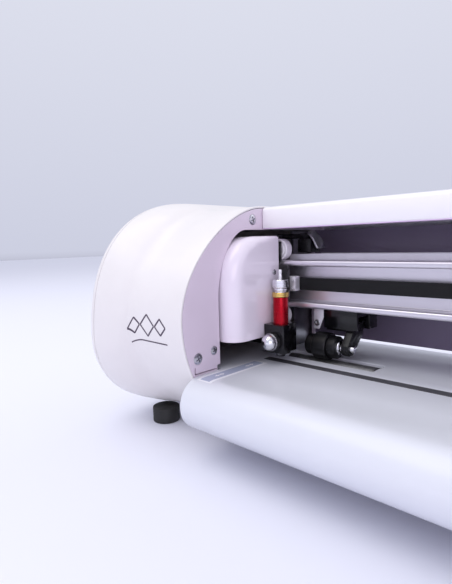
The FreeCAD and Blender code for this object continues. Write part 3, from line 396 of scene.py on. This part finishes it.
def lathe(name, axis, centre, outline, steps=48, angle=35):
    """A turned shape: outline holds (radius, distance along the axis)."""
    rings = []
    for i in range(steps):
        turn = 2 * math.pi * i / steps
        rings.append([axis_point(axis, centre, r, turn, d) for r, d in outline])
    return loft(name, rings, closed=False, looped=True, angle=angle)


def round_corner(before, here, after, radius, steps, least):
    """Points round one corner. It takes no more of either side than the side's length over least."""
    a, b, c = Vector(before), Vector(here), Vector(after)
    reach = min(radius, (a - b).length / least, (c - b).length / least)
    p, q = b + (a - b).normalized() * reach, b + (c - b).normalized() * reach
    shares = [i / steps for i in range(steps + 1)]
    return [tuple((1 - t) ** 2 * p + 2 * t * (1 - t) * b + t * t * q) for t in shares]


def rounded_corners(outline, radius):
    """An outline of (radius, distance) with each corner eased."""
    made = [outline[0]]
    for before, here, after in zip(outline, outline[1:], outline[2:]):
        made += round_corner(before, here, after, radius, 3, 2.1)
    made.append(outline[-1])
    return made


def turned(name, axis, centre, outline, ease=0.25, steps=48):
    """A turned shape with its corners eased."""
    return lathe(name, axis, centre, rounded_corners(outline, ease), steps)


def boxed(low, high, name="cutter"):
    """A plain box, to cut with or to round."""
    (x0, y0, z0), (x1, y1, z1) = low, high
    points = [(x, y, z) for x in (x0, x1) for y in (y0, y1) for z in (z0, z1)]
    faces = [(0, 1, 3, 2), (4, 5, 7, 6), (0, 1, 5, 4), (2, 3, 7, 6), (0, 2, 6, 4), (1, 3, 7, 5)]
    return make_mesh(name, points, faces)


def bar(name, low, high, ease=0.3, segments=2):
    """A box with rounded edges."""
    return softened(boxed(low, high, name), ease, segments)


def extruded(name, axis, outline, low, high, ease=0.3, segments=2):
    """An outline pushed along an axis, with rounded edges: (y, z) along X, (x, z) along Y, (x, y) along Z."""
    def at(a, b, d):
        return {"X": (d, a, b), "Y": (a, d, b), "Z": (a, b, d)}[axis]
    rings = [[at(a, b, d) for a, b in outline] for d in (low, high)]
    made = loft(name, rings, caps=True)
    return softened(made, ease, segments) if ease else made


def cad_copy(node, ease=0.4, segments=2, angle=32):
    """A CAD node's own shape with its flat faces merged and its edges rounded."""
    source = nodes[node].data
    work = bmesh.new()
    work.from_mesh(source)
    bmesh.ops.remove_doubles(work, verts=work.verts, dist=2e-6)
    bmesh.ops.dissolve_limit(work, angle_limit=math.radians(0.6), verts=work.verts, edges=work.edges)
    bmesh.ops.recalc_face_normals(work, faces=work.faces)
    made = bpy.data.meshes.new(node + "_shape")
    work.to_mesh(made)
    work.free()
    return softened(made, ease, segments, angle) if ease else made


def eased(node, ease=0.4, segments=2, angle=32, slot=None):
    """Replaces a CAD node by the same shape with rounded edges."""
    name = slot or slot_of[node]
    return add_piece(node + "_finished", cad_copy(node, ease, segments, angle), BODY_OF[node], name, [node])


def bezier(a, b, c, d, steps):
    """Points on a curve from a, not including d."""
    made = []
    for i in range(steps):
        t = i / steps
        s = 1 - t
        made.append(tuple(s ** 3 * p + 3 * s * s * t * q + 3 * s * t * t * r + t ** 3 * u
                          for p, q, r, u in zip(a, b, c, d)))
    return made


def line(a, b, steps):
    """Even points from a towards b, not including b."""
    return [tuple(p + (q - p) * i / steps for p, q in zip(a, b)) for i in range(steps)]


def mirrored(mesh):
    """A copy for the other end, on the far side of X = 0."""
    made = mesh.copy()
    made.transform(Matrix.Scale(-1, 4, (1, 0, 0)))
    made.flip_normals()
    return made


# ---- end pods ------------------------------------------------------------------------------------

def mm_box(node):
    """The low and high corners of a CAD node, in millimetres."""
    low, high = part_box(node)
    return low / MM, high / MM


PLATE_FACE, PLATE_BACK = mm_box("right_inner_plate")[0].x, mm_box("right_inner_plate")[1].x
POD_END = mm_box("right_pod_shell")[1].x
POD_BASE = mm_box("right_pod_shell")[0].z
RIM = {"top": 172.9, "front": -97, "nose": 92, "back": 98, "rise": 40.5, "over": 37.5, "fall": 42, "base": 26,
       "start": -39}
BULGE = {"top": 182, "front": -108, "nose": 74, "back": 108, "rise": 68, "over": 62, "fall": 34, "base": 34,
         "start": -46}
TOP_START = -9
BACK_CORNER = 34
QUARTER_PULL = 0.4477
RING_STEPS = (34, 5, 12, 6, 12, 8, 26)
SHOULDER = [(404, 0), (410, 0.03), (417, 0.16), (424.5, 0.48), (435.5, 0.78), (445, 0.93), (453.5, 1)]


def pod_sizes(share):
    """The outline's sizes, a share of the way from the rim to the full bulge."""
    return {key: RIM[key] + (BULGE[key] - RIM[key]) * share for key in RIM}


def pod_ring(x, share, inset=0.0, scale=1.0):
    """The pod's outline at x, as in the CAD, from the front's nose up and over."""
    s = pod_sizes(share)
    top, front, nose, back = s["top"] - inset, s["front"] + inset, s["nose"], s["back"] - inset
    base, corner = POD_BASE + inset, BACK_CORNER - inset
    pull = QUARTER_PULL * corner
    n = RING_STEPS
    flat = bezier((front, nose), (front, nose + s["rise"]), (TOP_START - s["over"], top), (TOP_START, top),
                  n[0])
    flat += line((TOP_START, top), (back - corner, top), n[1])
    flat += bezier((back - corner, top), (back - pull, top), (back, top - pull), (back, top - corner), n[2])
    flat += line((back, top - corner), (back, base + corner), n[3])
    flat += bezier((back, base + corner), (back, base + pull), (back - pull, base), (back - corner, base),
                   n[4])
    flat += line((back - corner, base), (s["start"], base), n[5])
    flat += bezier((s["start"], base), (s["start"] - s["base"], base), (front, nose - s["fall"]),
                   (front, nose), n[6])
    middle = (BULGE["top"] + POD_BASE) / 2
    return [(x, y * scale, middle + (z - middle) * scale) for y, z in flat]


def shoulder_share(x):
    """How far the outline has grown at x: a smooth line through the shoulder's stations."""
    if x <= SHOULDER[0][0]:
        return 0.0
    for i in range(len(SHOULDER) - 1):
        (x0, y0), (x1, y1) = SHOULDER[i], SHOULDER[i + 1]
        if x > x1:
            continue

        def slope(k):
            if k == 0:
                return 0.0
            if k == len(SHOULDER) - 1:
                return (SHOULDER[k][1] - SHOULDER[k - 1][1]) / (SHOULDER[k][0] - SHOULDER[k - 1][0])
            return (SHOULDER[k + 1][1] - SHOULDER[k - 1][1]) / (SHOULDER[k + 1][0] - SHOULDER[k - 1][0])
        gap = x1 - x0
        t = (x - x0) / gap
        return ((2 * t ** 3 - 3 * t * t + 1) * y0 + (t ** 3 - 2 * t * t + t) * gap * slope(i)
                + (3 * t * t - 2 * t ** 3) * y1 + (t ** 3 - t * t) * gap * slope(i + 1))
    return 1.0


def pod_skin():
    """The right pod's skin as one closed shape: outside, rolled rim, rebate for the plate and inside."""
    wall, ledge, edge = 3, 1.3, 0.5
    stations = [380, 404] + [404 + i * 2.5 for i in range(1, 20)]
    roll = ((0, edge), (0.07, 0.25), (0.25, 0.07), (edge, 0))
    rings = [pod_ring(PLATE_FACE + deep, 0, inset) for deep, inset in roll]
    rings += [pod_ring(x, shoulder_share(x)) for x in stations]
    rings += [pod_ring(POD_END - edge, 1), pod_ring(POD_END - 0.12, 1, 0.12), pod_ring(POD_END, 1, edge)]
    rings += [pod_ring(POD_END, 1, wall), pod_ring(404, 0, wall), pod_ring(PLATE_BACK, 0, wall)]
    rings += [pod_ring(PLATE_BACK, 0, ledge), pod_ring(PLATE_FACE, 0, ledge)]
    return loft("pod_skin", rings, looped=True, angle=40)


def end_cap():
    """The right pod's outer end: a dome that closes at its centre, on a lip inside the skin."""
    end = mm_box("right_side_panel")[1].x
    start = POD_END + 0.6
    depth = end - start
    spread = 0.2
    rings = [pod_ring(start - 6, 1, 3.1), pod_ring(start, 1, 3.1), pod_ring(start, 1, 0.4),
             pod_ring(start + 0.1, 1, 0.12), pod_ring(start + 0.4, 1)]
    for i in range(1, 19):
        a = math.pi / 2 * i / 18
        x = start + 0.4 + (depth - 0.4) * math.sin(a)
        rings.append(pod_ring(x, 1, 0, 1 - spread * (1 - math.cos(a))))
    for scale in (0.7, 0.5, 0.25, 0.05, 0):
        rings.append(pod_ring(end, 1, 0, scale))
    return loft("end_cap", rings, angle=40)


def flat_panel(name, loops, x, depth, ease):
    """A sheet in the YZ plane at x, from an outline and the outlines of its openings, with eased edges."""
    curve = bpy.data.curves.new(name, "CURVE")
    curve.dimensions = "2D"
    curve.fill_mode = "BOTH"
    curve.extrude = (depth / 2 - ease) * MM
    curve.bevel_depth = ease * MM
    curve.bevel_resolution = 2
    curve.offset = -ease * MM
    for points in loops:
        spline = curve.splines.new("POLY")
        spline.points.add(len(points) - 1)
        for p, (y, z) in zip(spline.points, points):
            p.co = (y * MM, z * MM, 0, 1)
        spline.use_cyclic_u = True
    thing = bpy.data.objects.new(name, curve)
    scene.collection.objects.link(thing)
    thing.matrix_world = Matrix(((0, 0, 1, (x + depth / 2) * MM), (1, 0, 0, 0), (0, 1, 0, 0), (0, 0, 0, 1)))
    return settled(thing, 30)


def circle(y, z, radius, steps=24):
    """A round hole's outline."""
    turns = [2 * math.pi * i / steps for i in range(steps)]
    return [(y + radius * math.cos(turn), z + radius * math.sin(turn)) for turn in turns]


PLATE_SCREWS = [(-21.8, 162.2, 3.9), (-82.5, 66.3, 3.9), (-66.9, 69.5, 3.1)]
DECK = mm_box("platen")[1].z


def inner_plate():
    """The right pod's inner plate: a sheet with the carriage's opening, the pan's window and screw holes."""
    rim = [(y, z) for _, y, z in pod_ring(0, 0, 1.75)]
    sill, low = DECK - 2.5, DECK + 3.4
    opening = line((-61.2, low), (-61.2, 104), 3)
    opening += bezier((-61.2, 104), (-61.2, 128), (-47, 154), (-30, 154.6), 18)
    opening += [(-30, 154.6), (62, 154.6), (62, sill), (-64.2, sill), (-64.2, low)]
    window = [(-53, 14), (81, 14), (81, 51.5), (-53, 51.5)]
    slit = [(-86, DECK + 0.5), (-64.8, DECK + 0.5), (-64.8, DECK + 1.3), (-84.9, DECK + 1.3),
            (-84.9, DECK + 5.5), (-86, DECK + 5.5)]
    holes = [circle(y, z, head + 0.15) for y, z, head in PLATE_SCREWS]
    loops = [rim, opening, window, slit, *holes]
    return flat_panel("inner_plate", loops, PLATE_FACE, PLATE_BACK - PLATE_FACE, 0.3)


def cross_screw(y, z, head, x):
    """A countersunk screw with a cross recess, facing -X, its head level with the plate at x."""
    dome = [(0, -0.5), (head * 0.45, -0.42), (head * 0.8, -0.15), (head, 0.15), (head, 0.5),
            (1.5, head - 1.2), (1.5, 9), (0, 9)]
    body = lathe("screw", "X", (x, y, z), dome, 32, 50)
    deep = head * 0.42
    slots = []
    for turn in (0.35, 0.35 + math.pi / 2):
        wing = extruded("slot", "X", [(-head * 0.62, -head * 0.11), (head * 0.62, -head * 0.11),
                                      (head * 0.62, head * 0.11), (-head * 0.62, head * 0.11)], -2, deep, 0)
        wing.transform(Matrix.Rotation(turn, 4, "X"))
        wing.transform(Matrix.Translation(Vector((x, y, z)) * MM))
        slots.append(wing)
    return carved(body, *slots)


CONSOLE_TILT = math.radians(26)
CONSOLE_CENTRE = Vector((405, -55, 170.5))
CONSOLE_SIZE = (68, 56, 26)
INLET_HOLE = ((371, 85, 50), (399, 110, 96))


def on_console(mesh):
    """Moves a mesh made round the origin, its top at zero, to the console's place and slope."""
    mesh.transform(Matrix.Translation(CONSOLE_CENTRE * MM) @ Matrix.Rotation(CONSOLE_TILT, 4, "X"))
    return mesh


def rounded_rectangle(width, height, corner, steps=8, middle=(0, 0)):
    """An outline round middle, with quarter-circle corners."""
    made = []
    for i, (sx, sy) in enumerate(((1, 1), (-1, 1), (-1, -1), (1, -1))):
        cx, cy = sx * (width / 2 - corner), sy * (height / 2 - corner)
        for k in range(steps + 1):
            a = math.pi / 2 * (i + k / steps)
            made.append((middle[0] + cx + corner * math.cos(a), middle[1] + cy + corner * math.sin(a)))
    return made


def build_pods():
    """Both pods: skins, end caps, inner plates and the screws that hold the plates."""
    skin = pod_skin()
    add_piece("left_pod_skin", mirrored(skin), "frame", "white_shell", ["left_pod_shell"])
    width, height, depth = CONSOLE_SIZE
    pocket = on_console(extruded("pocket", "Z", rounded_rectangle(width, height, 7), -depth, 20, 0))
    inlet = boxed(*INLET_HOLE)
    add_piece("right_pod_skin", carved(skin, pocket, inlet), "frame", "white_shell", ["right_pod_shell"])
    cap = end_cap()
    add_piece("right_end_cap", cap, "frame", "white_cap", ["right_side_panel"])
    add_piece("left_end_cap", mirrored(cap), "frame", "white_cap", ["left_side_panel"])
    plate = inner_plate()
    add_piece("right_plate", plate, "frame", "plate_grey", ["right_inner_plate"])
    add_piece("left_plate", mirrored(plate), "frame", "plate_grey", ["left_inner_plate"])
    screws = joined(*[cross_screw(y, z, head, PLATE_FACE) for y, z, head in PLATE_SCREWS])
    add_piece("plate_screw_heads", joined(screws, mirrored(screws)), "frame", "screw_steel", ["plate_screws"])


# ---- carriage ------------------------------------------------------------------------------------

TOOL_X, TOOL_Y = -338.5, -17
UPPER_RAIL, LOWER_RAIL = 130.5, 94.5
WHEELS = [(x, row) for row in ("upper", "lower") for x in (-351.5, -388)]


def cover_shell():
    """The glossy cover, open at the back and below. Its side edges are round in front and tighter on top."""
    left, right, low, top, front, back = -400.5, -347.2, 74, 149.6, -58.5, -7.2
    heel = low + 38
    path = line((front, low), (front, heel), 12)
    path += bezier((front, heel), (front, heel + 24), (-47, top), (-29, top), 30)
    path += line((-29, top), (back, top), 8) + [(back, top)]
    rings = []
    for i, (y, z) in enumerate(path):
        before, after = path[max(0, i - 1)], path[min(len(path) - 1, i + 1)]
        along = (Vector(after) - Vector(before)).normalized()
        inward = Vector((along.y, -along.x))
        share = min(1, max(0, (z - heel) / (top - heel)))
        over = min(1, max(0, (y + 40) / 33)) if z > heel else 0
        corner = 12.5 - 3.5 * share - 6.5 * over

        def side(inset):
            radius = max(0.3, corner - inset)
            arc = []
            for k in range(11):
                a = math.pi / 2 * k / 10
                deep = inset + radius * (1 - math.cos(a))
                p = Vector((y, z)) + inward * deep
                arc.append((right - inset - radius + radius * math.sin(a), min(p.x, back), p.y))
            arc.append((right - inset, back, arc[-1][2]))
            return arc

        outer, inner = side(0), side(2)
        flip = left + right
        ring = [(flip - x, b, c) for x, b, c in reversed(outer)] + outer
        ring += list(reversed(inner)) + [(flip - x, b, c) for x, b, c in inner]
        rings.append(ring)
    return loft("carriage_shell", rings, caps=True, angle=30)


def ridged(name, axis, centre, outline, ridges, depth, least):
    """A turned shape whose wide parts carry fine ridges."""
    rings = []
    steps = ridges * 4
    for i in range(steps):
        turn = 2 * math.pi * i / steps
        cut = depth if i % 4 in (0, 1) else 0
        rings.append([axis_point(axis, centre, r - (cut if r > least else 0), turn, d) for r, d in outline])
    return loft(name, rings, closed=False, looped=True, angle=25)


def build_tool():
    """The blade holder in its clamp: red body, steel nose, plated neck, gold ring, grooved cap and pin."""
    at = (TOOL_X, TOOL_Y, 0)
    tube = [(0, 62.6), (5.2, 62.6), (5.7, 63.4), (5.7, 103.9), (0, 103.9)]
    red = turned("holder_body", "Z", at, tube, 0.2, 64)
    add_piece("holder_body", red, "tool", "red_anodised", ["blade_holder"])
    nose = turned("holder_nose", "Z", at, [(1.3, 59), (3.1, 59), (4.9, 61.6), (4.9, 62.6), (1.3, 62.6)], 0.2)
    add_piece("holder_nose", nose, "tool", "red_anodised", material=finish["steel"])
    neck = turned("holder_neck", "Z", at, [
        (1.5, 103.9), (4.55, 103.9), (4.55, 107.8), (4.1, 108.1), (4.1, 108.6), (4.75, 108.9), (4.75, 110.6),
        (4.3, 111), (1.5, 111)], 0.15, 56)
    add_piece("holder_neck", neck, "tool", "red_anodised", material=finish["chrome"])
    ring = turned("gold_ring", "Z", at, [(4.6, 104), (5.9, 104), (6.25, 104.4), (6.25, 105.5), (6.05, 105.7),
                                         (6.25, 105.9), (6.25, 107.2), (5.9, 107.6), (4.6, 107.6)], 0.12, 64)
    add_piece("gold_ring", ring, "tool", "gold", ["holder_collar"])
    grooves = [(1.45, 111.05), (5.6, 111.05), (5.95, 111.35)]
    for z in (112.2, 113.3, 114.4, 115.5):
        grooves += [(5.95, z - 0.12), (5.6, z), (5.6, z + 0.14), (5.95, z + 0.26)]
    grooves += [(5.95, 116.5), (5.6, 117), (1.45, 117), (1.45, 111.05)]
    grooved = ridged("grooved_cap", "Z", at, grooves, 44, 0.05, 5.7)
    add_piece("grooved_cap", grooved, "cap", "chrome", ["depth_cap"])
    pin = turned("press_pin", "Z", at, [(0, 101.5), (1.3, 101.5), (1.3, 120.6), (1.1, 120.9), (1.1, 121.3),
                                        (1.3, 121.6), (1.3, 123.9), (0.9, 124.5), (0, 124.5)], 0.1, 32)
    add_piece("press_pin", pin, "pin", "steel", ["eject_pin"], material=finish["bright"])
    screw = (TOOL_X + 1, -27.1, 72)
    stem = [(0, 4.3), (1.5, 4.3), (1.5, 0), (5.4, 0), (6.1, -0.35)]
    rim = [(6.7, -0.9), (6.7, -4.7), (6.1, -5.3), (5, -5.3), (0, -5.3)]
    collar = ridged("knob_rim", "Y", screw, stem + rim, 34, 0.28, 6.5)
    add_piece("knurled_rim", collar, "knob", "chrome", material=finish["dark_chrome"])
    dome = [(0, -5.2), (5, -5.2), (5.6, -5.8)]
    turns = [math.pi / 2 * k / 16 for k in range(17)]
    dome += [(5.75 * math.cos(a), -6.2 - 4.8 * math.sin(a)) for a in turns]
    add_piece("knob_dome", lathe("knob_dome", "Y", screw, dome, 64), "knob", "chrome", ["clamp_knob"])
    eased("cutting_blade", 0.05, 1)
    for node in ("tool_slide", "clamp_jaw"):
        eased(node, 0.55, 3, slot="black_alloy")


def wheel(x, z, r, name, body):
    """A grooved plastic wheel of radius r on a small bearing."""
    tyre = turned(name + "_tyre", "Y", (x, -2, z), [
        (3.3, 0.55), (r - 3.4, 0.2), (r - 2.6, 0.75), (r - 2.0, 0.75), (r - 1.3, 0.05), (r - 0.5, 0.05),
        (r, 0.6), (r, 6.9), (r - 0.5, 7.45), (r - 1.4, 7.45), (r - 2, 6.8), (3.3, 6.9), (3.3, 0.55)], 0.2, 72)
    race = turned(name + "_race", "Y", (x, -2, z), [
        (1.65, -0.9), (2.4, -0.9), (2.5, -0.2), (3.25, -0.2), (3.25, 6.8), (1.65, 6.8),
        (1.65, -0.9)], 0.08, 48)
    add_piece(name + "_tyre", tyre, body, "wheel_white", [name])
    add_piece(name + "_race", race, body, "wheel_white", material=finish["steel"])


def build_carriage():
    """The cover, wheels, belt grip and what the carriage carries."""
    add_piece("carriage_shell", cover_shell(), "carriage", "cover_white", ["carriage_cover"])
    fix = turned("cover_screw", "X", (-347.3, -13, 122), [
        (0, -1.5), (1.2, -1.5), (1.2, 0), (2, 0), (2, 0.5), (1.2, 1), (0, 1)], 0.1, 32)
    slot_cut = boxed((-347, -14.2, 121.75), (-345, -11.8, 122.25))
    add_piece("cover_screw", carved(fix, slot_cut), "carriage", "cover_white", material=finish["steel"])
    for i, (x, row) in enumerate(WHEELS, 1):
        tread, z = (8.3, UPPER_RAIL + 8.35) if row == "upper" else (7.5, LOWER_RAIL - 7.55)
        wheel(x, z, tread, f"carriage_wheel_{i}", f"wheel_{i}")
    for node, ease in (("carriage_plate", 0.5), ("wheel_axles", 0.3), ("guide_rods", 0.3), ("lift_coil", 0.3),
                       ("cable_bracket", 0.2), ("cable_clamp", 0.4)):
        eased(node, ease, 2)
    grip = bar("belt_grip", (-341.6, -3.4, 107), (-334.8, 2.9, 118.4), 0.5, 3)
    bolt = [(0, -3.2), (1.3, -3.2), (1.3, -4.3), (0.7, -4.5), (0.6, -4), (0, -4)]
    bolts = [turned("grip_bolt", "Y", (-336.6, 0, z), bolt, 0.1, 24) for z in (109.6, 115.8)]
    add_piece("belt_grip", joined(grip, *bolts), "carriage", "silver", ["belt_clamp"], finish["satin_silver"])
    build_tool()


# ---- pinch rollers -------------------------------------------------------------------------------

def build_pinch():
    """Black blocks and arms, silver brackets with socket screws, and rollers with bright ends."""
    front = [(-324.7, 77.6), (-319.8, 78), (-316.2, 87), (-316.2, 94.2), (-324.7, 94.2)]
    plate = extruded("bracket", "Y", front, 6.75, 7.9, 0.25)
    head = turned("bracket_screw", "Y", (-321.6, 0, 82.9), [
        (0, 7.2), (2.2, 7.2), (2.3, 6.2), (2, 5.9), (1.2, 5.9), (1.1, 6.7), (0, 6.7)], 0.1, 40)
    centre = (-329, 7, 65.55)
    drum = turned("drum", "X", centre, [
        (0, 0.4), (4.6, 0.4), (5.2, 0), (7, 0), (8, 0.9), (8, 6.6), (7.6, 6.8), (7.6, 7.4), (9.8, 7.4),
        (10.3, 8), (10.3, 18.4), (9.8, 19.1), (7.7, 19.1), (7.7, 19.7), (8.5, 19.9), (8.5, 25.2), (7.8, 26),
        (0, 26)], 0.15, 80)
    tip = turned("tip", "X", centre, [
        (0, 25.8), (5.6, 25.8), (5.6, 27.6), (3.4, 28.8), (3.4, 34), (2.6, 35.2), (2.6, 38.6),
        (0, 39.2)], 0.3, 56)
    for i in (1, 2):
        turn = (lambda m: m) if i == 1 else mirrored
        saddle, roller = f"saddle_{i}", f"roller_{i}"
        add_piece(f"bracket_{i}", turn(plate), saddle, "black_alloy", material=finish["satin_silver"])
        add_piece(f"bracket_screw_{i}", turn(head), saddle, "black_alloy", material=finish["steel"])
        add_piece(f"roller_{i}_drum", turn(drum), roller, "roller_rubber", [f"pinch_roller_{i}"])
        add_piece(f"roller_{i}_tip", turn(tip), roller, "roller_rubber", material=finish["chrome"])
        eased(f"pinch_block_{i}", 0.4, 2)
        eased(f"pinch_arm_{i}", 0.6, 3)
    eased("pinch_lever", 0.5, 2)


# ---- beam, lid, platen and labels ----------------------------------------------------------------

def rounded_outline(points, radii):
    """A closed outline with each corner rounded by its own radius."""
    made = []
    for i, radius in enumerate(radii):
        made += round_corner(points[i - 1], points[i], points[(i + 1) % len(points)], radius, 5, 2.05)
    return made


def build_beam():
    """A channelled extrusion whose rails have rounded noses."""
    points = [(-3, 126), (-3, UPPER_RAIL), (39, UPPER_RAIL), (39, 119), (36, 119), (36, 121), (33, 121),
              (33, 104), (36, 104), (36, 106), (39, 106), (39, LOWER_RAIL), (-3, LOWER_RAIL), (-3, 99),
              (9, 99), (9, 126)]
    radii = [1.9, 1.9, 1, 0.4, 0.3, 0.3, 0.3, 0.3, 0.3, 0.3, 0.4, 1, 1.9, 1.9, 0.8, 0.8]
    outer = rounded_outline(points, radii)
    body = extruded("rail", "X", outer, -398, 398, 0)
    hollow = boxed((-402, 12, 102), (402, 30, 123))
    made = carved(body, hollow)
    smooth(made, 30)
    add_piece("beam_rail", made, "frame", "extrusion", ["beam"])


FLAT_TOP, NOSE_START, NOSE_RADIUS = 55, -83, 18


def on_nose(y):
    """The platen's height at y: flat, then round the nose."""
    if y >= NOSE_START:
        return FLAT_TOP
    return FLAT_TOP - NOSE_RADIUS + math.sqrt(max(0, NOSE_RADIUS ** 2 - (y - NOSE_START) ** 2))


def film(name, low_x, high_x, start, end, lift):
    """A thin strip of film that follows the platen from y = start to end."""
    steps = 24
    rows = []
    for i in range(steps + 1):
        y = start + (end - start) * i / steps
        z = on_nose(y) + lift
        under = z - lift - 0.02
        rows.append([(low_x, y, z), (high_x, y, z), (high_x, y, under), (low_x, y, under)])
    return loft(name, rows, caps=True)


def arrow(x, y, size, lift):
    """A double-headed arrow mark."""
    z = FLAT_TOP + lift
    outline = [(0, 1.5), (0.55, 0.55), (0.2, 0.55), (0.2, -0.55), (0.55, -0.55), (0, -1.5), (-0.55, -0.55),
               (-0.2, -0.55), (-0.2, 0.55), (-0.55, 0.55)]
    points = [(x + a * size, y + b * size, h) for h in (z, z - 0.04) for a, b in outline]
    n = len(outline)
    faces = [tuple(range(n)), tuple(range(n, 2 * n))]
    faces += [(i, (i + 1) % n, n + (i + 1) % n, n + i) for i in range(n)]
    return make_mesh("arrow", points, faces)


def build_labels():
    """The alignment labels at both ends of the platen: a field, its border and two arrows each."""
    borders, fields, marks = [], [], []
    for low, high in ((-355.6, -342.6), (342.6, 355.6)):
        borders.append(film("border", low, high, -29, -88.5, 0.08))
        fields.append(film("field", low + 2.1, high - 2.3, -31, -87.2, 0.12))
        middle = (low + high) / 2 - 0.1
        for y in (-42, -73):
            marks.append(arrow(middle, y, 3.1, 0.16))
    add_piece("label_fields", joined(*fields), "frame", "label", ["alignment_labels"])
    add_piece("label_borders", joined(*borders), "frame", "label", material=finish["paper_white"])
    add_piece("label_arrows", joined(*marks), "frame", "label", material=finish["paper_white"])


KEPT_SHAPES = {
    "platen": 0.3, "cutting_strip": 0.15, "top_cover": 0.6, "rear_panel": 0.3, "base_chassis": 0.25,
    "pod_bulkheads": 0.3, "rubber_feet": 0.6, "drive_motors": 0.5, "idler_pulley": 0.15, "drive_pulley": 0.15,
    "control_panel": 0.9, "menu_key": 0.5, "confirm_key": 0.5, "stop_key": 0.5, "power_inlet": 0.4,
    "power_switch": 0.4, "ribbon_cable": 0.15, "display_window": 0.15, "shaft_bearings": 0.15,
    "grit_shaft": 0.1,
}


def build_frame_parts():
    """The CAD parts whose own shape is kept, with rounded edges."""
    for node, ease in KEPT_SHAPES.items():
        eased(node, ease, 2)


# ---- belt, mark and small trim -------------------------------------------------------------------

def belt_path(step):
    """Places and outward directions round the belt's loop, at even steps."""
    reach, radius, middle = 412, 9, 12
    made = []
    straight = int(2 * reach / step)
    turn = int(math.pi * radius / step)
    for side in (1, -1):
        for i in range(straight):
            made.append((side * (reach - i * 2 * reach / straight), middle - side * radius, 0, -side))
        for i in range(turn):
            a = math.pi * i / turn
            dx, dy = -side * math.sin(a), -side * math.cos(a)
            made.append((-side * reach + radius * dx, middle + radius * dy, dx, dy))
    return made


def toothed_belt():
    """One closed belt with teeth on its inner side."""
    low, high = 107.5, 117
    root, tip = 0.75, 1.35
    rings = []
    for i, (x, y, dx, dy) in enumerate(belt_path(0.75)):
        deep = tip if i % 4 < 2 else root
        ring = [(0, low + 0.2), (0.2, low), (deep, low), (deep, high), (0.2, high), (0, high - 0.2)]
        rings.append([(x - dx * d, y - dy * d, z) for d, z in ring])
    return loft("toothed_belt", rings, looped=True, angle=40)


def on_pod(x, w, lift):
    """A point of the left pod's skin at x, w millimetres up from its nose, lifted off the surface."""
    share = shoulder_share(x)
    s = pod_sizes(share)
    front, nose, top = s["front"], s["nose"], s["top"]
    if w >= 0:
        p = [(front, nose), (front, nose + s["rise"]), (TOP_START - s["over"], top), (TOP_START, top)]
        t = w / (3 * s["rise"])
    else:
        p = [(front, nose), (front, nose - s["fall"]), (s["start"] - s["base"], POD_BASE),
             (s["start"], POD_BASE)]
        t = -w / (3 * s["fall"])
    q = 1 - t
    y, z = (q ** 3 * a + 3 * q * q * t * b + 3 * q * t * t * c + t ** 3 * d for a, b, c, d in zip(*p))
    return (-x, y - lift, z)


def stroke(points, width):
    """A printed line that lies on the pod's skin, through points of (x, height)."""
    rings = []
    for i, (x, w) in enumerate(points):
        a, b = points[max(0, i - 1)], points[min(len(points) - 1, i + 1)]
        along = Vector((b[0] - a[0], b[1] - a[1])).normalized()
        nx, nw = -along.y * width / 2, along.x * width / 2
        edges = ((1, 0.1), (-1, 0.1), (-1, -0.25), (1, -0.25))
        rings.append([on_pod(x + side * nx, w + side * nw, lift) for side, lift in edges])
    return loft("stroke", rings, caps=True, angle=60)


def build_mark():
    """A plain printed symbol: three open diamonds over a line."""
    lines = []
    for x, size in ((383, 6), (398, 8), (413, 6)):
        corners = [(x - size, -4), (x, -4 + size), (x + size, -4), (x, -4 - size), (x - size, -4)]
        for a, b in zip(corners, corners[1:]):
            lines.append(stroke(line(a, b, 8) + [b], 1.2))
    lines.append(stroke(line((377, -16), (419, -16), 24), 1.0))
    add_piece("pod_symbol", joined(*lines), "frame", "white_shell", material=finish["mark_grey"])


def build_trim():
    """The belt, the lid's lip in a lilac painted shade, and the printed symbol."""
    add_piece("toothed_belt", toothed_belt(), "frame", "belt", ["drive_belt"])
    # painted shade: the lip is a lilac strip that stands for the shaded underside of the white lid
    lip = bar("shaded_lid_lip", (-359.3, -10.8, 155.05), (359.3, 3.8, 155.6), 0.15)
    add_piece("shaded_lid_lip", lip, "frame", "white_sheet", material=finish["lilac"])
    build_mark()


# ---- console -------------------------------------------------------------------------------------

def inlay(outline, lift, deep=0.12):
    """A thin printed shape on the console, standing off its slope by lift."""
    return on_console(extruded("inlay", "Z", outline, lift - deep, lift, 0))


def build_console():
    """The plain bars on the display, and a printed sign by each key."""
    bars = [rounded_rectangle(44, 1.0, 0.4, 3, (0, 4.5))]
    bars += [rounded_rectangle(w, 1.6, 0.5, 3, (-22 + w / 2, u)) for w, u in ((26, 15), (18, 11.5), (22, 8))]
    steps = ((11, 3), (14.5, 5.5), (18, 8.5))
    bars += [rounded_rectangle(2.4, h, 0.4, 3, (x, 7.2 + h / 2)) for x, h in steps]
    glow = [inlay(outline, -0.25) for outline in bars]
    add_piece("display_marks", joined(*glow), "frame", "screen", material=finish["pale_ink"])
    signs = [inlay(rounded_rectangle(5, 0.7, 0.2, 2, (-20, u)), 0.06) for u in (-4.6, -6.0)]
    tick = [(-2.2, -5.6), (-0.6, -7), (2.4, -4), (1.9, -3.5), (-0.6, -6), (-1.7, -5.1)]
    signs.append(inlay(tick, 0.06))
    signs.append(inlay(rounded_rectangle(3.2, 3.2, 0.3, 2, (20, -5.4)), 0.06))
    add_piece("key_signs", joined(*signs), "frame", "console", material=finish["pale_ink"])


make_camera()
make_studio()
dress_nodes()
build_pods()
build_carriage()
build_pinch()
build_beam()
build_labels()
build_frame_parts()
build_trim()
build_console()
